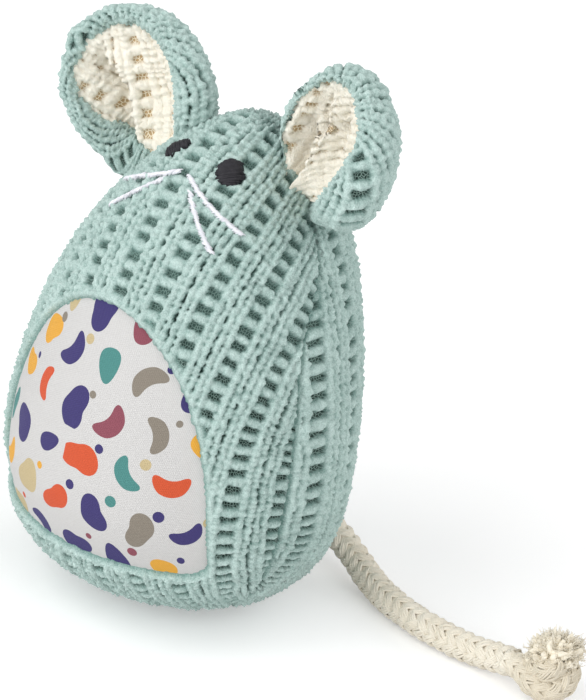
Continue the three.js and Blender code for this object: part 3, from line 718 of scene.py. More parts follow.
def past_patch(points, step):
    """How far each point of a net lies outside the patch's arch along the cloth, and under 0 inside it."""
    x, z = np.abs(points[..., 0]), points[..., 2]
    tall = PATCH_TOP - PATCH_SHOULDER
    oval = np.hypot(x / PATCH_HALF_WIDTH, (z - PATCH_SHOULDER) / tall)
    slope = np.hypot(x / PATCH_HALF_WIDTH ** 2, (z - PATCH_SHOULDER) / tall ** 2) / np.maximum(oval, SMALL)
    arch = (oval - 1) / np.maximum(slope, SMALL)
    square = np.maximum(x - PATCH_HALF_WIDTH, PATCH_HEM - z)
    across, down = x - PATCH_HALF_WIDTH + PATCH_CORNER, PATCH_HEM + PATCH_CORNER - z
    corner = np.where((across > 0) & (down > 0), np.hypot(across, down) - PATCH_CORNER, square)
    past = np.where(z > PATCH_SHOULDER, arch, corner)
    return past / np.clip(np.hypot(*np.gradient(past, step)), *PATCH_SLOPES)


def body_panel(name, back):
    """One panel of the body. The front has a hole with a padded hem, whose cut edge turns in round it."""
    net = cloth_net(back, CLOTH_STEP)
    points = body_skin(net.up, net.turn)
    pucker = np.exp(-(net.edge / PUCKER_REACH) ** 2)
    pucker = pucker * uneven(net.v / PUCKER_PITCH, np.sign(net.u) * 7.3 + net.edge / PUCKER_RUN)
    ribs = net.ribs + PUCKER_PULL * pucker
    height, shown = chenille(ribs, net.along)
    shown = shown * (1 - SNUG_SHARE * ramp(points[..., 2], *SNUG_HEIGHTS))
    sewn = eased(net.edge / SEAM_REACH)
    stitches = SEAM_DEPTH * (1 + SEAM_STITCH_PULL * uneven(net.v / SEAM_STITCH, 3.5))
    height = (height + KNIT_LIFT + PUCKER_RISE * pucker) * sewn - stitches * (1 - sewn)
    keep = True
    if not back:
        past = past_patch(points, CLOTH_STEP)
        lumps, grain = HEM_LUMPS
        hem = HEM_TOP - HEM_FALL * ((past - HEM_MIDDLE) / HEM_HALF) ** 2
        hem = hem + lumps * uneven(net.along / grain, ribs / grain)
        shown = np.where(hem > height, 0, shown)
        backing, drop = HEM_BACKING
        backing = -backing - drop * ramp(past, *HEM_BACKING_REACH)
        height = np.maximum(np.maximum(height, hem), backing)
        height = height - HEM_TUCK * (1 - ramp(past, *HEM_TUCK_REACH))
        keep = past[:-1, :-1] > HEM_TUCK_REACH[0]
    points = points + skin_ways(net.up, net.turn)[2] * height[..., None]
    points[..., 2] = np.maximum(points[..., 2], 0.0)
    share_u = (net.u - net.u.min()) / (net.u.max() - net.u.min())
    share_v = (net.v - net.v[0]) / (net.v[-1] - net.v[0])
    bake = inset(PANEL_BAKE_EDGE, np.stack(np.broadcast_arrays(share_u, share_v), -1))
    pattern = np.stack([ribs, net.along], -1)
    return knit_piece(name, points, pattern, bake, cloth_faces(net.index, keep), shown, -height)


def chenille_finish(name, light, dark, ground, thread, shade):
    """Chenille: soft uneven pile with painted shade that darkens it where it is deep, over a net of fine
    slanted threads.
    """
    material, place, shader = new_finish(name, roughness=0.9, sheen=0.35, sheen_tint=light)
    cloth = place.node("ShaderNodeUVMap", {"uv_map": "cloth"})
    shown = place.node("ShaderNodeAttribute", {"attribute_name": "open"}, output="Fac")
    deep = place.node("ShaderNodeAttribute", {"attribute_name": "deep"}, output="Fac")
    patches = place.noise(scale=150, detail=2)
    nubs = place.noise(scale=900, detail=2)
    fine = place.noise(scale=4200, detail=2)
    # Painted shade: the pile's tone falls where the knit lies deep, by the given shade.
    tone = patches * 0.3 + nubs * 0.5 + fine * 1.2 - 0.32 - deep * shade
    loops = cloth.node("ShaderNodeTexVoronoi", {"feature": "DISTANCE_TO_EDGE", "voronoi_dimensions": "2D"},
                       {"Vector": cloth, "Scale": 1.9, "Randomness": 0.8})
    strands = loops.math("LESS_THAN", 0.13)
    feed(shown.mix(tone.mix(dark, light), strands.mix(ground, thread)), shader, "Base Color")
    emboss(fine * 0.9 + nubs * 0.5 + strands * shown * 0.6, shader, strength=0.9, distance=0.4)
    return material


sage_finish = chenille_finish("sage_chenille", light=srgb(208, 229, 224), dark=srgb(122, 155, 148),
                              ground=srgb(42, 61, 55), thread=srgb(132, 157, 149), shade=1.0)
front_panel = body_panel("front_panel_knit", False)
back_panel = body_panel("back_panel_knit", True)
for piece, node in ((front_panel, "front_panel"), (back_panel, "back_panel")):
    piece.data.materials.append(sage_finish)
    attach(piece, "body")
    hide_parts(node)

# The belly patch is an arch of white printed cotton twill, sewn behind the edge of a hole in the
# front panel, so the knit's cut edge lies over its border and the cloth swells out a little.
PATCH_LIFT = -1.0
PATCH_SWELL = 0.7
PATCH_SWELL_REACH = 9.0
PATCH_TUCK = 1.6
PATCH_CLOTH = 0.45
PATCH_STEP = 0.5
net = cloth_net(False, PATCH_STEP)
points = body_skin(net.up, net.turn)
faces = cloth_faces(net.index, past_patch(points, PATCH_STEP)[:-1, :-1] < PATCH_TUCK)
arch_out = np.hypot(points[..., 0] / PATCH_HALF_WIDTH,
                    np.maximum(points[..., 2] - PATCH_SHOULDER, 0) / (PATCH_TOP - PATCH_SHOULDER))
swell_in = eased((1 - arch_out) * PATCH_HALF_WIDTH / PATCH_SWELL_REACH)
swell_in = swell_in * eased((points[..., 2] - PATCH_HEM) / PATCH_SWELL_REACH)
points = points + skin_ways(net.up, net.turn)[2] * (PATCH_LIFT + PATCH_SWELL * swell_in)[..., None]
hem_row = np.abs(points[:, points.shape[1] // 2, 2] - PATCH_HEM).argmin()
flat = np.stack(np.broadcast_arrays(net.u, net.v - net.v[hem_row]), -1).reshape(-1, 2)
used, ordered = np.unique(faces[0], return_inverse=True)
belly_patch = lay_mesh("belly_patch_cloth", points.reshape(-1, 3)[used], ordered, faces[1],
                       {"cloth": flat[faces[0]]})
bpy.context.view_layer.objects.active = belly_patch
thicken = belly_patch.modifiers.new("cloth", "SOLIDIFY")
thicken.thickness = PATCH_CLOTH * MM
thicken.offset = -1
bpy.ops.object.modifier_apply(modifier="cloth")

PRINT_INKS = [srgb(66, 60, 113), srgb(209, 89, 56), srgb(80, 138, 134), srgb(227, 168, 66), srgb(142, 80, 93),
              srgb(197, 180, 140), srgb(66, 60, 113), srgb(139, 131, 120), srgb(66, 60, 113)]
TWILL_WHITE = srgb(207, 206, 205)
TWILL_SHADE = srgb(196, 194, 192)
PRINT_STEP = 7.8
PRINT_SHIFT = (20.1, 20.3)
PRINT_STRAY = -0.3
PRINT_DOT = 3.0
PEBBLE_RADIUS = 2.3
BEAN_RADIUS = 1.3
BEAN_HALF = 1.7
DROP_RADIUS = 1.75
PEBBLE_SHARE = 0.45
PEBBLE_OR_BEAN_SHARE = 0.75
DOT_SHARE = 0.7
DOT_STRAY = 0.7
TWILL_RIDGES = (2.6, 2.1)
TWILL_FLOATS = (0.9, -3.4)


def printed_twill():
    """White twill with a loose scatter of pebbles, beans and drops in a few inks, one in each cell of a
    brick layout with its own lean, size, place and ink, and small dots at the corners between them."""
    material, place, shader = new_finish("printed_twill", roughness=0.85, sheen=0.1)
    cloth = place.node("ShaderNodeUVMap", {"uv_map": "cloth"})

    def parts(vector):
        first = vector.node("ShaderNodeSeparateXYZ", inputs={0: vector})
        return first, first.beside(1)

    def joined(x, y):
        return x.node("ShaderNodeCombineXYZ", inputs={0: x, 1: y})

    def chance(salt):
        spot = cell.node("ShaderNodeVectorMath", {"operation": "ADD"}, {0: cell, 1: (salt, salt * 0.37, 0)})
        return spot.node("ShaderNodeTexWhiteNoise", {"noise_dimensions": "2D"}, {"Vector": spot})

    def far(x, y):
        return x.node("ShaderNodeVectorMath", {"operation": "LENGTH"}, {0: joined(x, y)}, 1)

    def under(value, limit):
        return value.math("LESS_THAN", limit)

    def inked(salt):
        stops = [(i / len(PRINT_INKS), ink) for i, ink in enumerate(PRINT_INKS)]
        settings = {"stops": stops, "interpolation": "CONSTANT"}
        return cell.node("ShaderNodeValToRGB", settings, {0: chance(salt)})

    x, y = parts(cloth)
    rows = y * (1 / PRINT_STEP) + PRINT_SHIFT[1]
    row = rows.math("FLOOR")
    columns = x * (1 / PRINT_STEP) + row.math("MODULO", 2.0) * 0.5 + PRINT_SHIFT[0]
    column = columns.math("FLOOR")
    cell = joined(column, row)
    across = (columns - column - 0.5) * PRINT_STEP
    rise = (rows - row - 0.5) * PRINT_STEP
    spot = joined(across + chance(11.7) + PRINT_STRAY, rise + chance(23.9) + PRINT_STRAY)
    turned = spot.node("ShaderNodeVectorRotate", {"rotation_type": "Z_AXIS"},
                       {"Vector": spot, "Angle": chance(37.3) * (2 * math.pi)})
    p, q = parts(turned)
    size = chance(51.1) * 0.3 + 0.85
    angle = q.math("ARCTAN2", p)
    waist = angle * 2 + chance(5.3) * (2 * math.pi)
    corners = angle * 3 + chance(8.9) * (2 * math.pi)
    edge = waist.math("SINE") * 0.16 + corners.math("SINE") * 0.1 + 1
    pebble = under(far(p * 0.8, q), size * edge * PEBBLE_RADIUS)
    past_end = (p.math("ABSOLUTE") - BEAN_HALF).math("MAXIMUM", 0.0)
    bean = under(far(past_end, q + p * p * 0.15 - 0.4), size * BEAN_RADIUS)
    drop = under(far(p * 0.66, q * (1.05 - p * 0.13)), size * DROP_RADIUS)
    kind = chance(3.1)
    is_pebble = under(kind, PEBBLE_SHARE)
    is_bean = under(kind, PEBBLE_OR_BEAN_SHARE)
    motif = is_pebble * pebble + (1 - is_pebble) * (is_bean * bean + (1 - is_bean) * drop)
    dot = far(across - PRINT_DOT + chance(61.3) * DOT_STRAY, rise - PRINT_DOT + chance(67.1) * DOT_STRAY)
    dot = under(dot, chance(43.7) * 0.45 + 0.55) * under(chance(83.3), DOT_SHARE)
    ink = dot.mix(inked(71.9), inked(91.3))
    printed = motif.math("MAXIMUM", dot).mix(TWILL_WHITE, ink)
    ridge = (x * TWILL_RIDGES[0] + y * TWILL_RIDGES[1]).math("PINGPONG", 0.5) * 2
    float_mark = (x * TWILL_FLOATS[0] + y * TWILL_FLOATS[1]).math("PINGPONG", 0.5) * 2
    fuzz = place.noise(scale=2600, detail=2)
    shade = ridge * 0.26 + float_mark * 0.14 + fuzz * 0.2 - 0.14
    feed(shade.mix(printed, TWILL_SHADE, "MULTIPLY"), shader, "Base Color")
    emboss(ridge * 0.7 + float_mark * 0.4 + fuzz * 0.4, shader, strength=0.5, distance=0.15)
    return material


belly_patch.data.materials.append(printed_twill())
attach(belly_patch, "body")
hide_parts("belly_patch")

# Each eye is a round spot of black satin stitch, and each cheek has two white whiskers of the same
# stitch: short shiny threads side by side, sewn through the knit and pressing it down a little.
EYE_TURN = math.radians(30)
EYE_UP = math.radians(147.5)
EYE_HALVES = {1: (1.9, 2.3), -1: (1.1, 2.2)}
EYE_LEAN = math.radians(24)
EYE_LAYER_TURN = 0.25
EYE_LAYER_RISE = 0.16
EYE_THREADS = 19
EYE_THREAD_RADIUS = 0.19
EYE_THREAD_STEPS = 9
EYE_ROWS = 0.97
EYE_SQUARENESS = 0.8
EYE_RAGGED = 0.22
EYE_ROW_STRAY = 0.06
EYE_LIFT_STRAY = 0.04
EYE_SINK = -0.3
EYE_DOME = 0.75
EYE_DOME_FALL = 0.85
WHISKERS = {
    "upper": ((4.0, 142.6), (47.0, 131.0)),
    "lower": ((11.5, 138.6), (34.5, 125.5)),
}
WHISKER_HALF = 0.36
WHISKER_STEPS = 40
WHISKER_LIFT = 0.02
WHISKER_CORE = 0.2
WHISKER_CORE_SIDES = 8
STITCH_RADIUS = 0.085
STITCH_PITCH = 0.15
STITCH_STEPS = 6
STITCH_RISE = 0.34
STITCH_RISE_STRAY = 0.05
STITCH_LENGTH_STRAY = 0.3
STITCH_SLANT = 1.3
STITCH_SIDES = 5


def on_skin(up, turn, right, rise, lift):
    """A point of the skin some millimetres to one side of and above another, lifted off it."""
    around, upward = skin_ways(up, turn)[:2]
    turn = turn + right / np.linalg.norm(around, axis=-1)
    up = up + rise / np.linalg.norm(upward, axis=-1)
    return body_skin(up, turn) + skin_ways(up, turn)[2] * np.asarray(lift)[..., None]


def stitched_eye(name, side):
    """Slanting threads over a small dome, in two layers that lean apart, with ends that are not in line."""
    share = np.linspace(-1, 1, EYE_THREAD_STEPS)
    half_width, half_height = EYE_HALVES[side]
    paths = []
    for layer, lean in ((0, EYE_LEAN - EYE_LAYER_TURN), (1, EYE_LEAN)):
        for row in np.linspace(-EYE_ROWS, EYE_ROWS, EYE_THREADS):
            width = math.sqrt(1 - row ** 2) ** EYE_SQUARENESS
            left = -width * half_width - abs(rng.normal(0, EYE_RAGGED))
            right = width * half_width + abs(rng.normal(0, EYE_RAGGED))
            across = left + (right - left) * (share + 1) / 2
            rise = row * half_height + EYE_ROW_STRAY * rng.standard_normal()
            dome = np.sqrt(np.clip(1 - share ** 2, 0, 1)) * math.sqrt(1 - EYE_DOME_FALL * row ** 2)
            lift = EYE_SINK + (EYE_DOME + EYE_LAYER_RISE * layer) * dome
            lift = lift + EYE_LIFT_STRAY * rng.standard_normal()
            x = across * math.cos(lean) - rise * math.sin(lean)
            y = across * math.sin(lean) + rise * math.cos(lean)
            paths.append(on_skin(EYE_UP, side * EYE_TURN, side * x, y, lift))
    return yarn_piece(name, [(np.array(paths), EYE_THREAD_RADIUS, YARN_SIDES)])


def stitched_whisker(name, side, course):
    """A fine padded line with slanted stitches laid across it, one close beside the next."""
    (turn_a, up_a), (turn_b, up_b) = np.radians(course)
    share = np.linspace(0, 1, WHISKER_STEPS)
    line_turn = side * (turn_a + (turn_b - turn_a) * share)
    line_up = up_a + (up_b - up_a) * share
    out = skin_ways(line_up, line_turn)[2]
    spine = body_skin(line_up, line_turn) + out * WHISKER_LIFT
    stitches = round(lengths_along(spine)[-1] / STITCH_PITCH)
    way = unit(np.gradient(spine, axis=0))
    aside = np.cross(out, way)
    bow = np.linspace(-1, 1, STITCH_STEPS)
    arch = STITCH_RISE * np.sqrt(np.clip(1 - bow ** 2, 0, 1))
    paths = []
    for at in (np.arange(stitches) + 0.5) / stitches * (WHISKER_STEPS - 1):
        low = int(at)
        middle = spine[low] + (spine[low + 1] - spine[low]) * (at - low)
        reach = bow[:, None] * WHISKER_HALF * (1 + STITCH_LENGTH_STRAY * rng.standard_normal())
        rise = arch[:, None] + STITCH_RISE_STRAY * rng.standard_normal()
        paths.append(middle + (aside[low] + STITCH_SLANT * way[low]) * reach + out[low] * rise)
    return yarn_piece(name, [
        (np.array(paths), STITCH_RADIUS, STITCH_SIDES),
        (spine[None], WHISKER_CORE, WHISKER_CORE_SIDES),
    ])


def thread_finish(name, light, dark, roughness):
    """Shiny embroidery thread with fine fibres that run along it."""
    material, place, shader = new_finish(name, roughness, sheen=0.3, sheen_tint=light)
    yarn = place.node("ShaderNodeUVMap", {"uv_map": "yarn"})
    stretched = yarn.node("ShaderNodeMapping", inputs={"Vector": yarn, "Scale": (1.2, 9.0, 1.0)})
    fine = stretched.noise(scale=3, detail=2)
    patches = place.noise(scale=1400, detail=1)
    feed((fine * 0.8 + patches * 0.6 - 0.2).mix(dark, light), shader, "Base Color")
    emboss(fine, shader, strength=0.4, distance=0.1)
    return material


eye_finish = thread_finish("black_thread", srgb(58, 57, 62), srgb(24, 23, 27), roughness=0.5)
whisker_finish = thread_finish("white_thread", srgb(252, 252, 255), srgb(222, 222, 232), roughness=0.6)
for label, side in (("left", 1), ("right", -1)):
    eye = stitched_eye(label + "_eye_stitches", side)
    eye.data.materials.append(eye_finish)
    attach(eye, "body")
    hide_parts(label + "_eye")
    for row, course in WHISKERS.items():
        whisker = stitched_whisker(f"{label}_{row}_whisker_stitches", side, course)
        whisker.data.materials.append(whisker_finish)
        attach(whisker, "body")
        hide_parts(f"{label}_{row}_whisker")

# Each ear is a leaf of the sage knit with a cream knit lining, turned so that the sage cloth rolls
# over the edge. Its foot is drawn together and sewn to the head, which cups the ear and pleats it.
EARS = {
    "left": {
        "length": 31.1, "width": 26.8, "foot": 13.9, "foot_cup": 6.4, "tip_cup": 13.2,
        "at": (14.334, 0.891, 70.541), "along": (0.405, -0.206, 0.891),
        "facing": (-0.454, -0.891, 0.0), "across": (0.794, -0.405, -0.454),
        "full": [(0, 0.89), (45, 0.92), (68, 0.95), (90, 0.90), (112, 0.82), (135, 0.84), (158, 0.89),
                 (180, 0.94), (202, 1.06), (225, 1.14), (247, 1.01), (270, 0.84), (292, 0.83), (315, 0.93),
                 (338, 0.97)],
        "mouth": [(0, 0.72), (45, 0.66), (90, 0.64), (135, 0.66), (180, 0.64), (200, 0.72), (212, 0.84),
                  (225, 0.94), (245, 0.97), (290, 0.97), (310, 0.93), (325, 0.87), (340, 0.78)],
        "creases": [([(-5.2, 3.8), (-4.6, 6.6), (-4.9, 9.4), (-5.4, 12.4), (-6.8, 15.1)], 2.8, 2.2, 2.8),
                    ([(-4.6, 13.0), (-6.2, 22.0)], 1.0, 1.2, 2.2),
                    ([(-1.8, 13.5), (-2.6, 21.5)], 0.8, 1.1, 2.0)],
        "ribs": (((0.77, -0.64, 14.0), (0.64, 0.77, 0.0)), ((1.0, 0.0, 8.4), (0.0, 1.0, 0.4))),
        "ladder": -12.0,
    },
    "right": {
        "length": 28.7, "width": 29.4, "foot": 18.0, "foot_cup": 8.1, "tip_cup": 19.6,
        "at": (-17.017, -0.252, 65.594), "along": (-0.325, -0.023, 0.946),
        "facing": (0.07, -0.998, 0.0), "across": (0.943, 0.066, 0.326),
        "full": [(0, 1.05), (22, 0.98), (45, 0.90), (68, 0.90), (90, 0.98), (112, 1.03), (135, 1.01),
                 (180, 0.95), (202, 0.99), (225, 1.11), (247, 1.03), (270, 0.95), (292, 1.02), (315, 1.14),
                 (338, 1.13)],
        "mouth": [(0, 0.78), (20, 0.70), (45, 0.64), (90, 0.62), (135, 0.62), (180, 0.60), (200, 0.54),
                  (220, 0.48), (240, 0.54), (258, 0.67), (275, 0.80), (295, 0.86), (315, 0.80), (345, 0.82)],
        "creases": [([(-2.3, 6.8), (-3.5, 8.6), (-4.0, 12.3), (-4.2, 16.2), (-5.2, 18.9), (-7.0, 21.7)],
                     1.8, 3.0, 3.2)],
        "ribs": (((1.0, 0.05, 1.0), (0.0, 1.0, 0.8)), ((0.642, 0.766, -6.4), (0.766, -0.642, 16.0))),
        "ladder": 13.7,
    },
}
EAR_BOWL = 3.5
EAR_SINK = 3.0
EAR_DRAWN = 18.0
EAR_GATHERED = 0.3
EAR_BACK = -4.6
EAR_TOP = 1.5
EAR_ROLL_FULL = 0.14
EAR_RADIUS = 14.5
EAR_NET = (104, 380)
CREASE_START = (-1.5, 1.5)
CREASE_END = (2.5, -2.5)
CREASE_WALL = (-0.25, 0.25)
CREASE_DROP_REACH = 0.9
LINING_NET = (60, 340)
LINING_GAUGE = 1.25
LINING_TUCK = 0.25
LINING_CREASE_RIM = (1.0, 0.75)
LINING_SWELL = 0.6
LINING_SWELL_RIM = (0.0, 0.6)
LINING_DIP = 0.9
LINING_DIP_RIM = (0.86, 1.0)
LINING_FOOT_RISE = 2.1
LINING_FOOT = (9.0, 4.0)
LINING_WEAVE = {
    "wales": [(1.75, 0.95, 0.0), (3.45, 0.95, -0.05)], "rung_half": 1.05, "ground": -1.1, "crumbly": 0.45,
}


def angle_values(pairs, around):
    """Values between those given at some angles in degrees, all round."""
    angles, values = np.array(pairs).T
    return np.interp(around, np.radians(angles), values, period=2 * math.pi)


def ear_place(ear, out, around, height):
    """A point of an ear: out from the leaf's middle, round it from the tip, and up from the lining."""
    spread = out * angle_values(ear["full"], around)
    y = ear["length"] / 2 * (1 + spread * np.cos(around))
    wide = ear["foot"] + (ear["width"] - ear["foot"]) * eased(y / EAR_DRAWN)
    x = spread * np.sin(around) * wide / 2
    cup = ear["foot_cup"] + (ear["tip_cup"] - ear["foot_cup"]) * np.clip(y / ear["length"], 0, 1.1)
    level = height - EAR_BOWL * (1 - np.minimum(out, 1) ** 2)
    sideways = (cup - level) * np.sin(x / cup)
    forward = cup - (cup - level) * np.cos(x / cup)
    at, along, facing, across = (np.array(ear[k]) for k in ("at", "along", "facing", "across"))
    point = at + across * sideways[..., None] + along * (y - EAR_SINK)[..., None]
    return point + facing * forward[..., None], x, y


def crease_off(line, x, y):
    """How far a point of the leaf lies to the raised side of a crease."""
    xs, ys = np.array(line).T
    slope = (xs[-1] - xs[0]) / (ys[-1] - ys[0])
    return (x - np.interp(y, ys, xs)) / math.hypot(1, slope)


def crease_lift(ear, x, y):
    """Folds in the lining: one bank of each stands up over the other along a line."""
    lift = np.zeros_like(x)
    for line, bank, drop, reach in ear["creases"]:
        off = crease_off(line, x, y)
        fade = ramp(y - line[0][1], *CREASE_START) * ramp(y - line[-1][1], *CREASE_END)
        near, far = np.exp(-(off / reach) ** 2), np.exp(-(off / (CREASE_DROP_REACH * reach)) ** 2)
        wall = ramp(off, *CREASE_WALL)
        lift = lift + fade * (wall * bank * near - (1 - wall) * drop * far)
    return lift


def round_net(rows, columns):
    """The numbers of a net's points, with its first column again behind its last."""
    index = np.arange(rows * columns).reshape(rows, columns)
    return np.concatenate([index, index[:, :1]], 1)


def leaf_piece(name, ear, out, height, around, u, v, relief, weave):
    """A polar net over one face of an ear, raised by the knit's own height to the side of its relief."""
    points, y = ear_place(ear, out, around, height)[::2]
    wrapped = np.concatenate([points[:, -1:], points, points[:, :1]], 1)
    normal = np.cross(np.gradient(points, axis=0), np.gradient(wrapped, axis=1)[:, 1:-1])
    normal[0] = normal[1].mean(0)
    normal = unit(normal + 1e-12) * relief
    knit, shown = chenille(u, v, one_ladder=True, **weave)
    gathered = EAR_GATHERED + (1 - EAR_GATHERED) * eased(y / EAR_DRAWN)
    points = points + normal * ((knit + KNIT_LIFT) * gathered)[..., None]
    index = round_net(*out.shape)
    index[0] = 0
    faces = cloth_faces(index if relief < 0 else index[:, ::-1])
    share = np.linspace(0, 0.5 - PANEL_BAKE_EDGE, len(out))[:, None]
    bake = np.stack([0.5 + share * np.sin(around), 0.5 + share * np.cos(around)], -1)
    return knit_piece(name, points, np.stack([u, v], -1), bake, faces, shown, -(knit + KNIT_LIFT))


def ear_outer(name, ear):
    """The sage leaf from the middle of its back, over the rolled edge and in under the lining."""
    steps, sides = EAR_NET
    around = np.arange(sides) * 2 * math.pi / sides
    out, height, run = np.zeros((3, *EAR_NET))
    for i, edge in enumerate(angle_values(ear["mouth"], around)):
        ring, half = (1 + edge) / 2, (1 - edge) / 2
        top = EAR_TOP * min(1, half / EAR_ROLL_FULL)
        profile = [(0, EAR_BACK), (0.45, EAR_BACK), (0.80, EAR_BACK), (0.93, -4.0), (0.99, -2.4), (1.0, -0.8),
                   (1 - 0.2 * half, 0.4 * top), (ring + 0.3 * half, top), (ring - 0.4 * half, top),
                   (edge + 0.15 * half, 0.6 * top), (edge - 0.01, -0.4), (edge - 0.02, -1.6)]
        line = smooth_route(np.array(profile) * [EAR_RADIUS, 1], count=steps)
        out[:, i], height[:, i] = line[:, 0] / EAR_RADIUS, line[:, 1]
        run[:, i] = lengths_along(line)
    turn = np.broadcast_to(around, out.shape)
    ribs = run * np.sin(turn) + ear["ladder"]
    return leaf_piece(name, ear, out, height, turn, ribs, run * np.cos(turn), 1, {})


def ear_lining(name, ear):
    """The cream leaf from its middle out to where it slips under the roll of the edge."""
    steps, sides = LINING_NET
    around = np.arange(sides) * 2 * math.pi / sides
    mouth = angle_values(ear["mouth"], around)
    rim = np.linspace(0, 1, steps)[:, None]
    out = rim * (mouth + LINING_TUCK * (1 - mouth))
    turn = np.broadcast_to(around, out.shape)
    x, y = ear_place(ear, out, turn, np.zeros_like(out))[1:]
    height = crease_lift(ear, x, y) * ramp(rim, *LINING_CREASE_RIM)
    height = height + LINING_SWELL * ramp(rim, *LINING_SWELL_RIM) - LINING_DIP * ramp(rim, *LINING_DIP_RIM)
    height = height + LINING_FOOT_RISE * ramp(y, *LINING_FOOT)
    raised = crease_off(ear["creases"][0][0], x, y) > 0
    near, far = ([a * x + b * y + c for a, b, c in bank] for bank in ear["ribs"])
    u, v = (np.where(raised, on, off) for on, off in zip(near, far))
    return leaf_piece(name, ear, out, height, turn, u * LINING_GAUGE, v, -1, LINING_WEAVE)


cream_finish = chenille_finish("cream_chenille", light=srgb(255, 251, 240), dark=srgb(252, 243, 224),
                               ground=srgb(200, 172, 130), thread=srgb(252, 242, 218), shade=0.35)
for label, ear in EARS.items():
    outer = ear_outer(label + "_ear_knit", ear)
    lining = ear_lining(label + "_ear_lining_knit", ear)
    outer.data.materials.append(sage_finish)
    lining.data.materials.append(cream_finish)
    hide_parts(label + "_ear_outer")
    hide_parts(label + "_ear_lining")
    for piece in (outer, lining):
        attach(piece, label + "_ear")

# The body is filled with white polyester fibre in two wads, with a handful of dried catnip between
# them, and closed all round by one strong twofold thread that lies just inside the cloth.
FILL_DEPTH = 2.9
EAR_ROOM = 5.0
EAR_ROOM_REACH = 13.0
SEAM_CLEAR = 1.2
WAD_POLE_GAP = 0.06
WAD_LEAST_HALF = 0.1
WAD_LUMPS = [(0.3, 9, 30), (0.2, 22, 0)]
WAD_SLACK = 0.3
WAD_ROWS = 64
WAD_COLUMNS = 72
WAD_INNER_COLUMNS = 38
CATNIP_HALF = np.array([12.0, 7.0, 16.0])
CATNIP_MIDDLE = np.array([0, body_skin(SEAM_TURNS[0], SEAM_BELLY)[1], 32.0])
CATNIP_CLEAR = 0.4
CRUMBS = 900
CRUMB_HALF = np.array([1.2, 0.8, 0.2])
CRUMB_SIZES = (0.5, 1.0)
CRUMB_CLEAR = 1.3
CRUMB_SPREAD = (0.1, 1)
THREAD_RADIUS = 0.2
THREAD_TWIST = 1.6
THREAD_STEP = 0.3
THREAD_POINTS = 90
THREAD_POLE_GAP = 0.02


def ear_room(up, turn):
    """How much deeper the filling and the thread lie round the ears' sunken feet."""
    gaps = [np.linalg.norm(body_skin(up, turn) - ear["at"], axis=-1) for ear in EARS.values()]
    return EAR_ROOM * sum(np.exp(-(gap / EAR_ROOM_REACH) ** 2) for gap in gaps)


def stuffing_wad(name, back):
    """A lumpy half of the filling: round on its outside, flat at the seam and hollowed for the catnip."""
    middle, way = (math.pi, 1) if back else (0.0, -1)
    up = np.linspace(WAD_POLE_GAP, math.pi - WAD_POLE_GAP, WAD_ROWS)[:, None]
    seam = math.pi - seam_turn(up) if back else seam_turn(up)
    around = np.linalg.norm(skin_ways(up, middle + seam)[0], axis=-1)
    half = np.maximum(seam - SEAM_CLEAR / around, WAD_LEAST_HALF)
    turn = middle + half * np.linspace(-1, 1, WAD_COLUMNS)
    lumps = sum(size * uneven(turn * often, up * often + salt) for size, often, salt in WAD_LUMPS)
    depth = FILL_DEPTH + WAD_SLACK + lumps + ear_room(up, turn)
    outside = body_skin(up, turn) - skin_ways(up, turn)[2] * depth[..., None]
    share = np.linspace(0, 1, WAD_INNER_COLUMNS + 2)[1:-1, None]
    inside = outside[:, -1:] * (1 - share) + outside[:, :1] * share
    pod = CATNIP_HALF + CATNIP_CLEAR
    off = (inside - CATNIP_MIDDLE) / pod
    hollow = pod[1] * np.sqrt(np.clip(1 - off[..., 0] ** 2 - off[..., 2] ** 2, 0, 1))
    apart = way * (inside[..., 1] - CATNIP_MIDDLE[1])
    inside[..., 1] = CATNIP_MIDDLE[1] + way * np.where(hollow > 0, np.maximum(apart, hollow), apart)
    rings = np.concatenate([outside, inside], 1)
    columns = rings.shape[1]
    index = round_net(WAD_ROWS, columns)
    corners, counts = cloth_faces(index)
    ends = np.concatenate([index[0, -2::-1], index[-1, :-1]])
    return lay_mesh(name, rings.reshape(-1, 3), np.concatenate([corners, ends]),
                    np.concatenate([counts, [columns, columns]]))


def catnip_crumbs(name):
    """Dried leaf rubbed small: flat crumbs at every angle, heaped into a loose pod."""
    spots = unit(rng.standard_normal((CRUMBS, 3))) * rng.uniform(*CRUMB_SPREAD, (CRUMBS, 1)) ** (1 / 3)
    spots = CATNIP_MIDDLE + spots * (CATNIP_HALF - CRUMB_CLEAR)
    tips = np.array([(1, 0, 0), (0, 1, 0), (-1, 0, 0), (0, -1, 0), (0, 0, 1), (0, 0, -1)], float)
    long = unit(rng.standard_normal((CRUMBS, 3)))
    wide = unit(np.cross(long, rng.standard_normal((CRUMBS, 3))))
    axes = np.stack([long, wide, np.cross(long, wide)], 1)
    sizes = CRUMB_HALF * rng.uniform(*CRUMB_SIZES, (CRUMBS, 1))
    points = spots[:, None] + (tips[None] * sizes[:, None]) @ axes
    faces = np.array([(0, 1, 4), (1, 2, 4), (2, 3, 4), (3, 0, 4),
                      (1, 0, 5), (2, 1, 5), (3, 2, 5), (0, 3, 5)])
    corners = np.arange(CRUMBS)[:, None, None] * len(tips) + faces
    return lay_mesh(name, points.reshape(-1, 3), corners.ravel(), np.full(CRUMBS * len(faces), 3))


def loose_finish(name, light, dark, scale):
    """Loose fibre or leaf: patches of tone and a fine tangled surface."""
    material, place, shader = new_finish(name, roughness=0.95, sheen=0.2)
    patches = place.noise(scale, detail=3)
    tangle = place.noise(scale * 8, detail=2, distortion=2)
    feed((patches + tangle * 0.6 - 0.3).mix(dark, light), shader, "Base Color")
    emboss(tangle, shader, strength=0.6, distance=0.5)
    return material


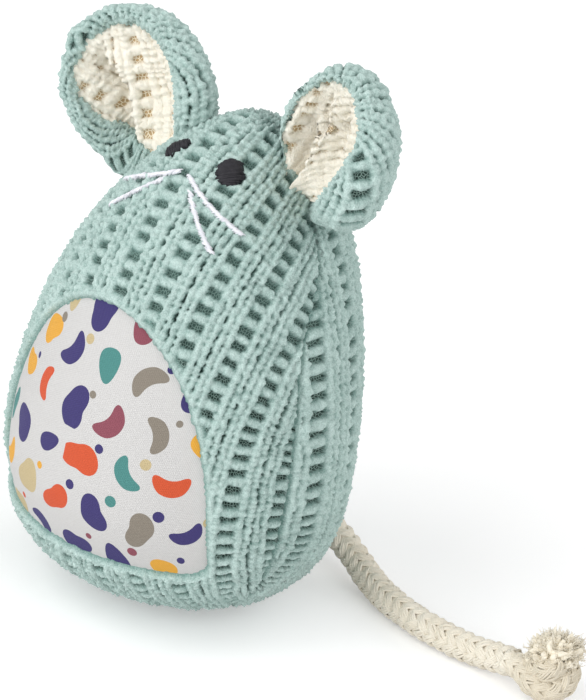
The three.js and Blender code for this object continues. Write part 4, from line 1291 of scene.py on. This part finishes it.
side_up = np.linspace(THREAD_POLE_GAP, math.pi - THREAD_POLE_GAP, THREAD_POINTS)
loop_up = np.concatenate([side_up, side_up[::-1]])
loop_turn = np.concatenate([seam_turn(side_up), -seam_turn(side_up[::-1])])
loop_depth = FILL_DEPTH + ear_room(loop_up, loop_turn)
loop = body_skin(loop_up, loop_turn) - skin_ways(loop_up, loop_turn)[2] * loop_depth[:, None]
loop = smooth_route(loop, THREAD_STEP)
across, aside = (ways[0] for ways in carried_ways(loop[None]))
turns = 2 * math.pi * np.arange(len(loop)) * THREAD_STEP / THREAD_TWIST
twist = THREAD_RADIUS * way_round(turns, across, aside)
plies = np.stack([loop + twist, loop - twist])
seam_thread = yarn_piece("body_seam_stitch_thread", [(plies, THREAD_RADIUS, YARN_SIDES)])
seam_finish = thread_finish("sage_thread", srgb(172, 200, 193), srgb(134, 164, 156), roughness=0.6)
seam_thread.data.materials.append(seam_finish)
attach(seam_thread, "body")
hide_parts("body_seam_thread")
fibre = loose_finish("stuffing_fibre", srgb(250, 250, 248), srgb(224, 224, 220), scale=300)
leaf = loose_finish("dried_leaf", srgb(146, 158, 104), srgb(92, 100, 58), scale=700)
for piece, node, finish, label in (
        (stuffing_wad("stuffing_front_wad", False), "stuffing_front", fibre, "stuffing"),
        (stuffing_wad("stuffing_back_wad", True), "stuffing_back", fibre, "stuffing"),
        (catnip_crumbs("catnip_crumbs"), "catnip_fill", leaf, "catnip")):
    piece.data.materials.append(finish)
    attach(piece, "body")
    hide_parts(node)

# The floor is one wide pale sheet that the mouse sits on, and the light is a white room with large
# soft lamps over the mouse's face, in front of it, at its left side and a weak one behind it.
FLOOR_RADIUS = 3.0
FLOOR_SIDES = 96
FLOOR_GREY = 0.86
FLOOR_GLOW = 0.27
ROOM_LIGHT = 0.5
LAMP_AIM = Vector((0, 0, 0.04))
LAMP_SIZE = 0.8
LAMPS = [
    ("face_lamp", (-0.45, -0.75, 1.0), 5.2),
    ("front_lamp", (-0.2, -1.15, 0.42), 6.6),
    ("side_lamp", (0.95, -0.2, 0.6), 4.2),
    ("back_lamp", (0.2, 1.1, 0.7), 3.0),
]
bpy.ops.mesh.primitive_circle_add(vertices=FLOOR_SIDES, radius=FLOOR_RADIUS, fill_type="NGON")
floor = bpy.context.object
floor.name = "floor"
floor_finish, start, shader = new_finish("pale_floor", roughness=0.9)
shader.inputs["Base Color"].default_value = (FLOOR_GREY, FLOOR_GREY, FLOOR_GREY, 1)
seen = start.node("ShaderNodeLightPath", output="Is Camera Ray")
lit = start.node("ShaderNodeEmission", inputs={"Color": (1, 1, 1, 1), "Strength": FLOOR_GLOW})
surface = Wire(start.tree, shader.outputs[0])
brighter = start.node("ShaderNodeAddShader", inputs={0: surface, 1: lit})
mixed = start.node("ShaderNodeMixShader", inputs={0: seen, 1: surface, 2: brighter})
feed(mixed, floor_finish.node_tree.nodes["Material Output"], "Surface")
floor.data.materials.append(floor_finish)

world = bpy.data.worlds.new("white_room")
world.use_nodes = True
bpy.context.scene.world = world
to_camera = Wire(world.node_tree).node("ShaderNodeLightPath", output="Is Camera Ray")
glossy = to_camera.beside("Is Glossy Ray")
through = to_camera.beside("Is Transmission Ray")
straight = to_camera.math("MAXIMUM", glossy.math("MAXIMUM", through))
room = world.node_tree.nodes["Background"]
room.inputs["Color"].default_value = (1, 1, 1, 1)
feed(straight * (1 - ROOM_LIGHT) + ROOM_LIGHT, room, "Strength")
for label, place, watts in LAMPS:
    turn = (LAMP_AIM - Vector(place)).to_track_quat("-Z", "Y").to_euler()
    bpy.ops.object.light_add(type="AREA", location=place, rotation=turn)
    lamp = bpy.context.object
    lamp.name = label
    lamp.data.size = LAMP_SIZE
    lamp.data.energy = watts

bpy.context.scene.view_settings.view_transform = "Standard"
bpy.context.view_layer.update()
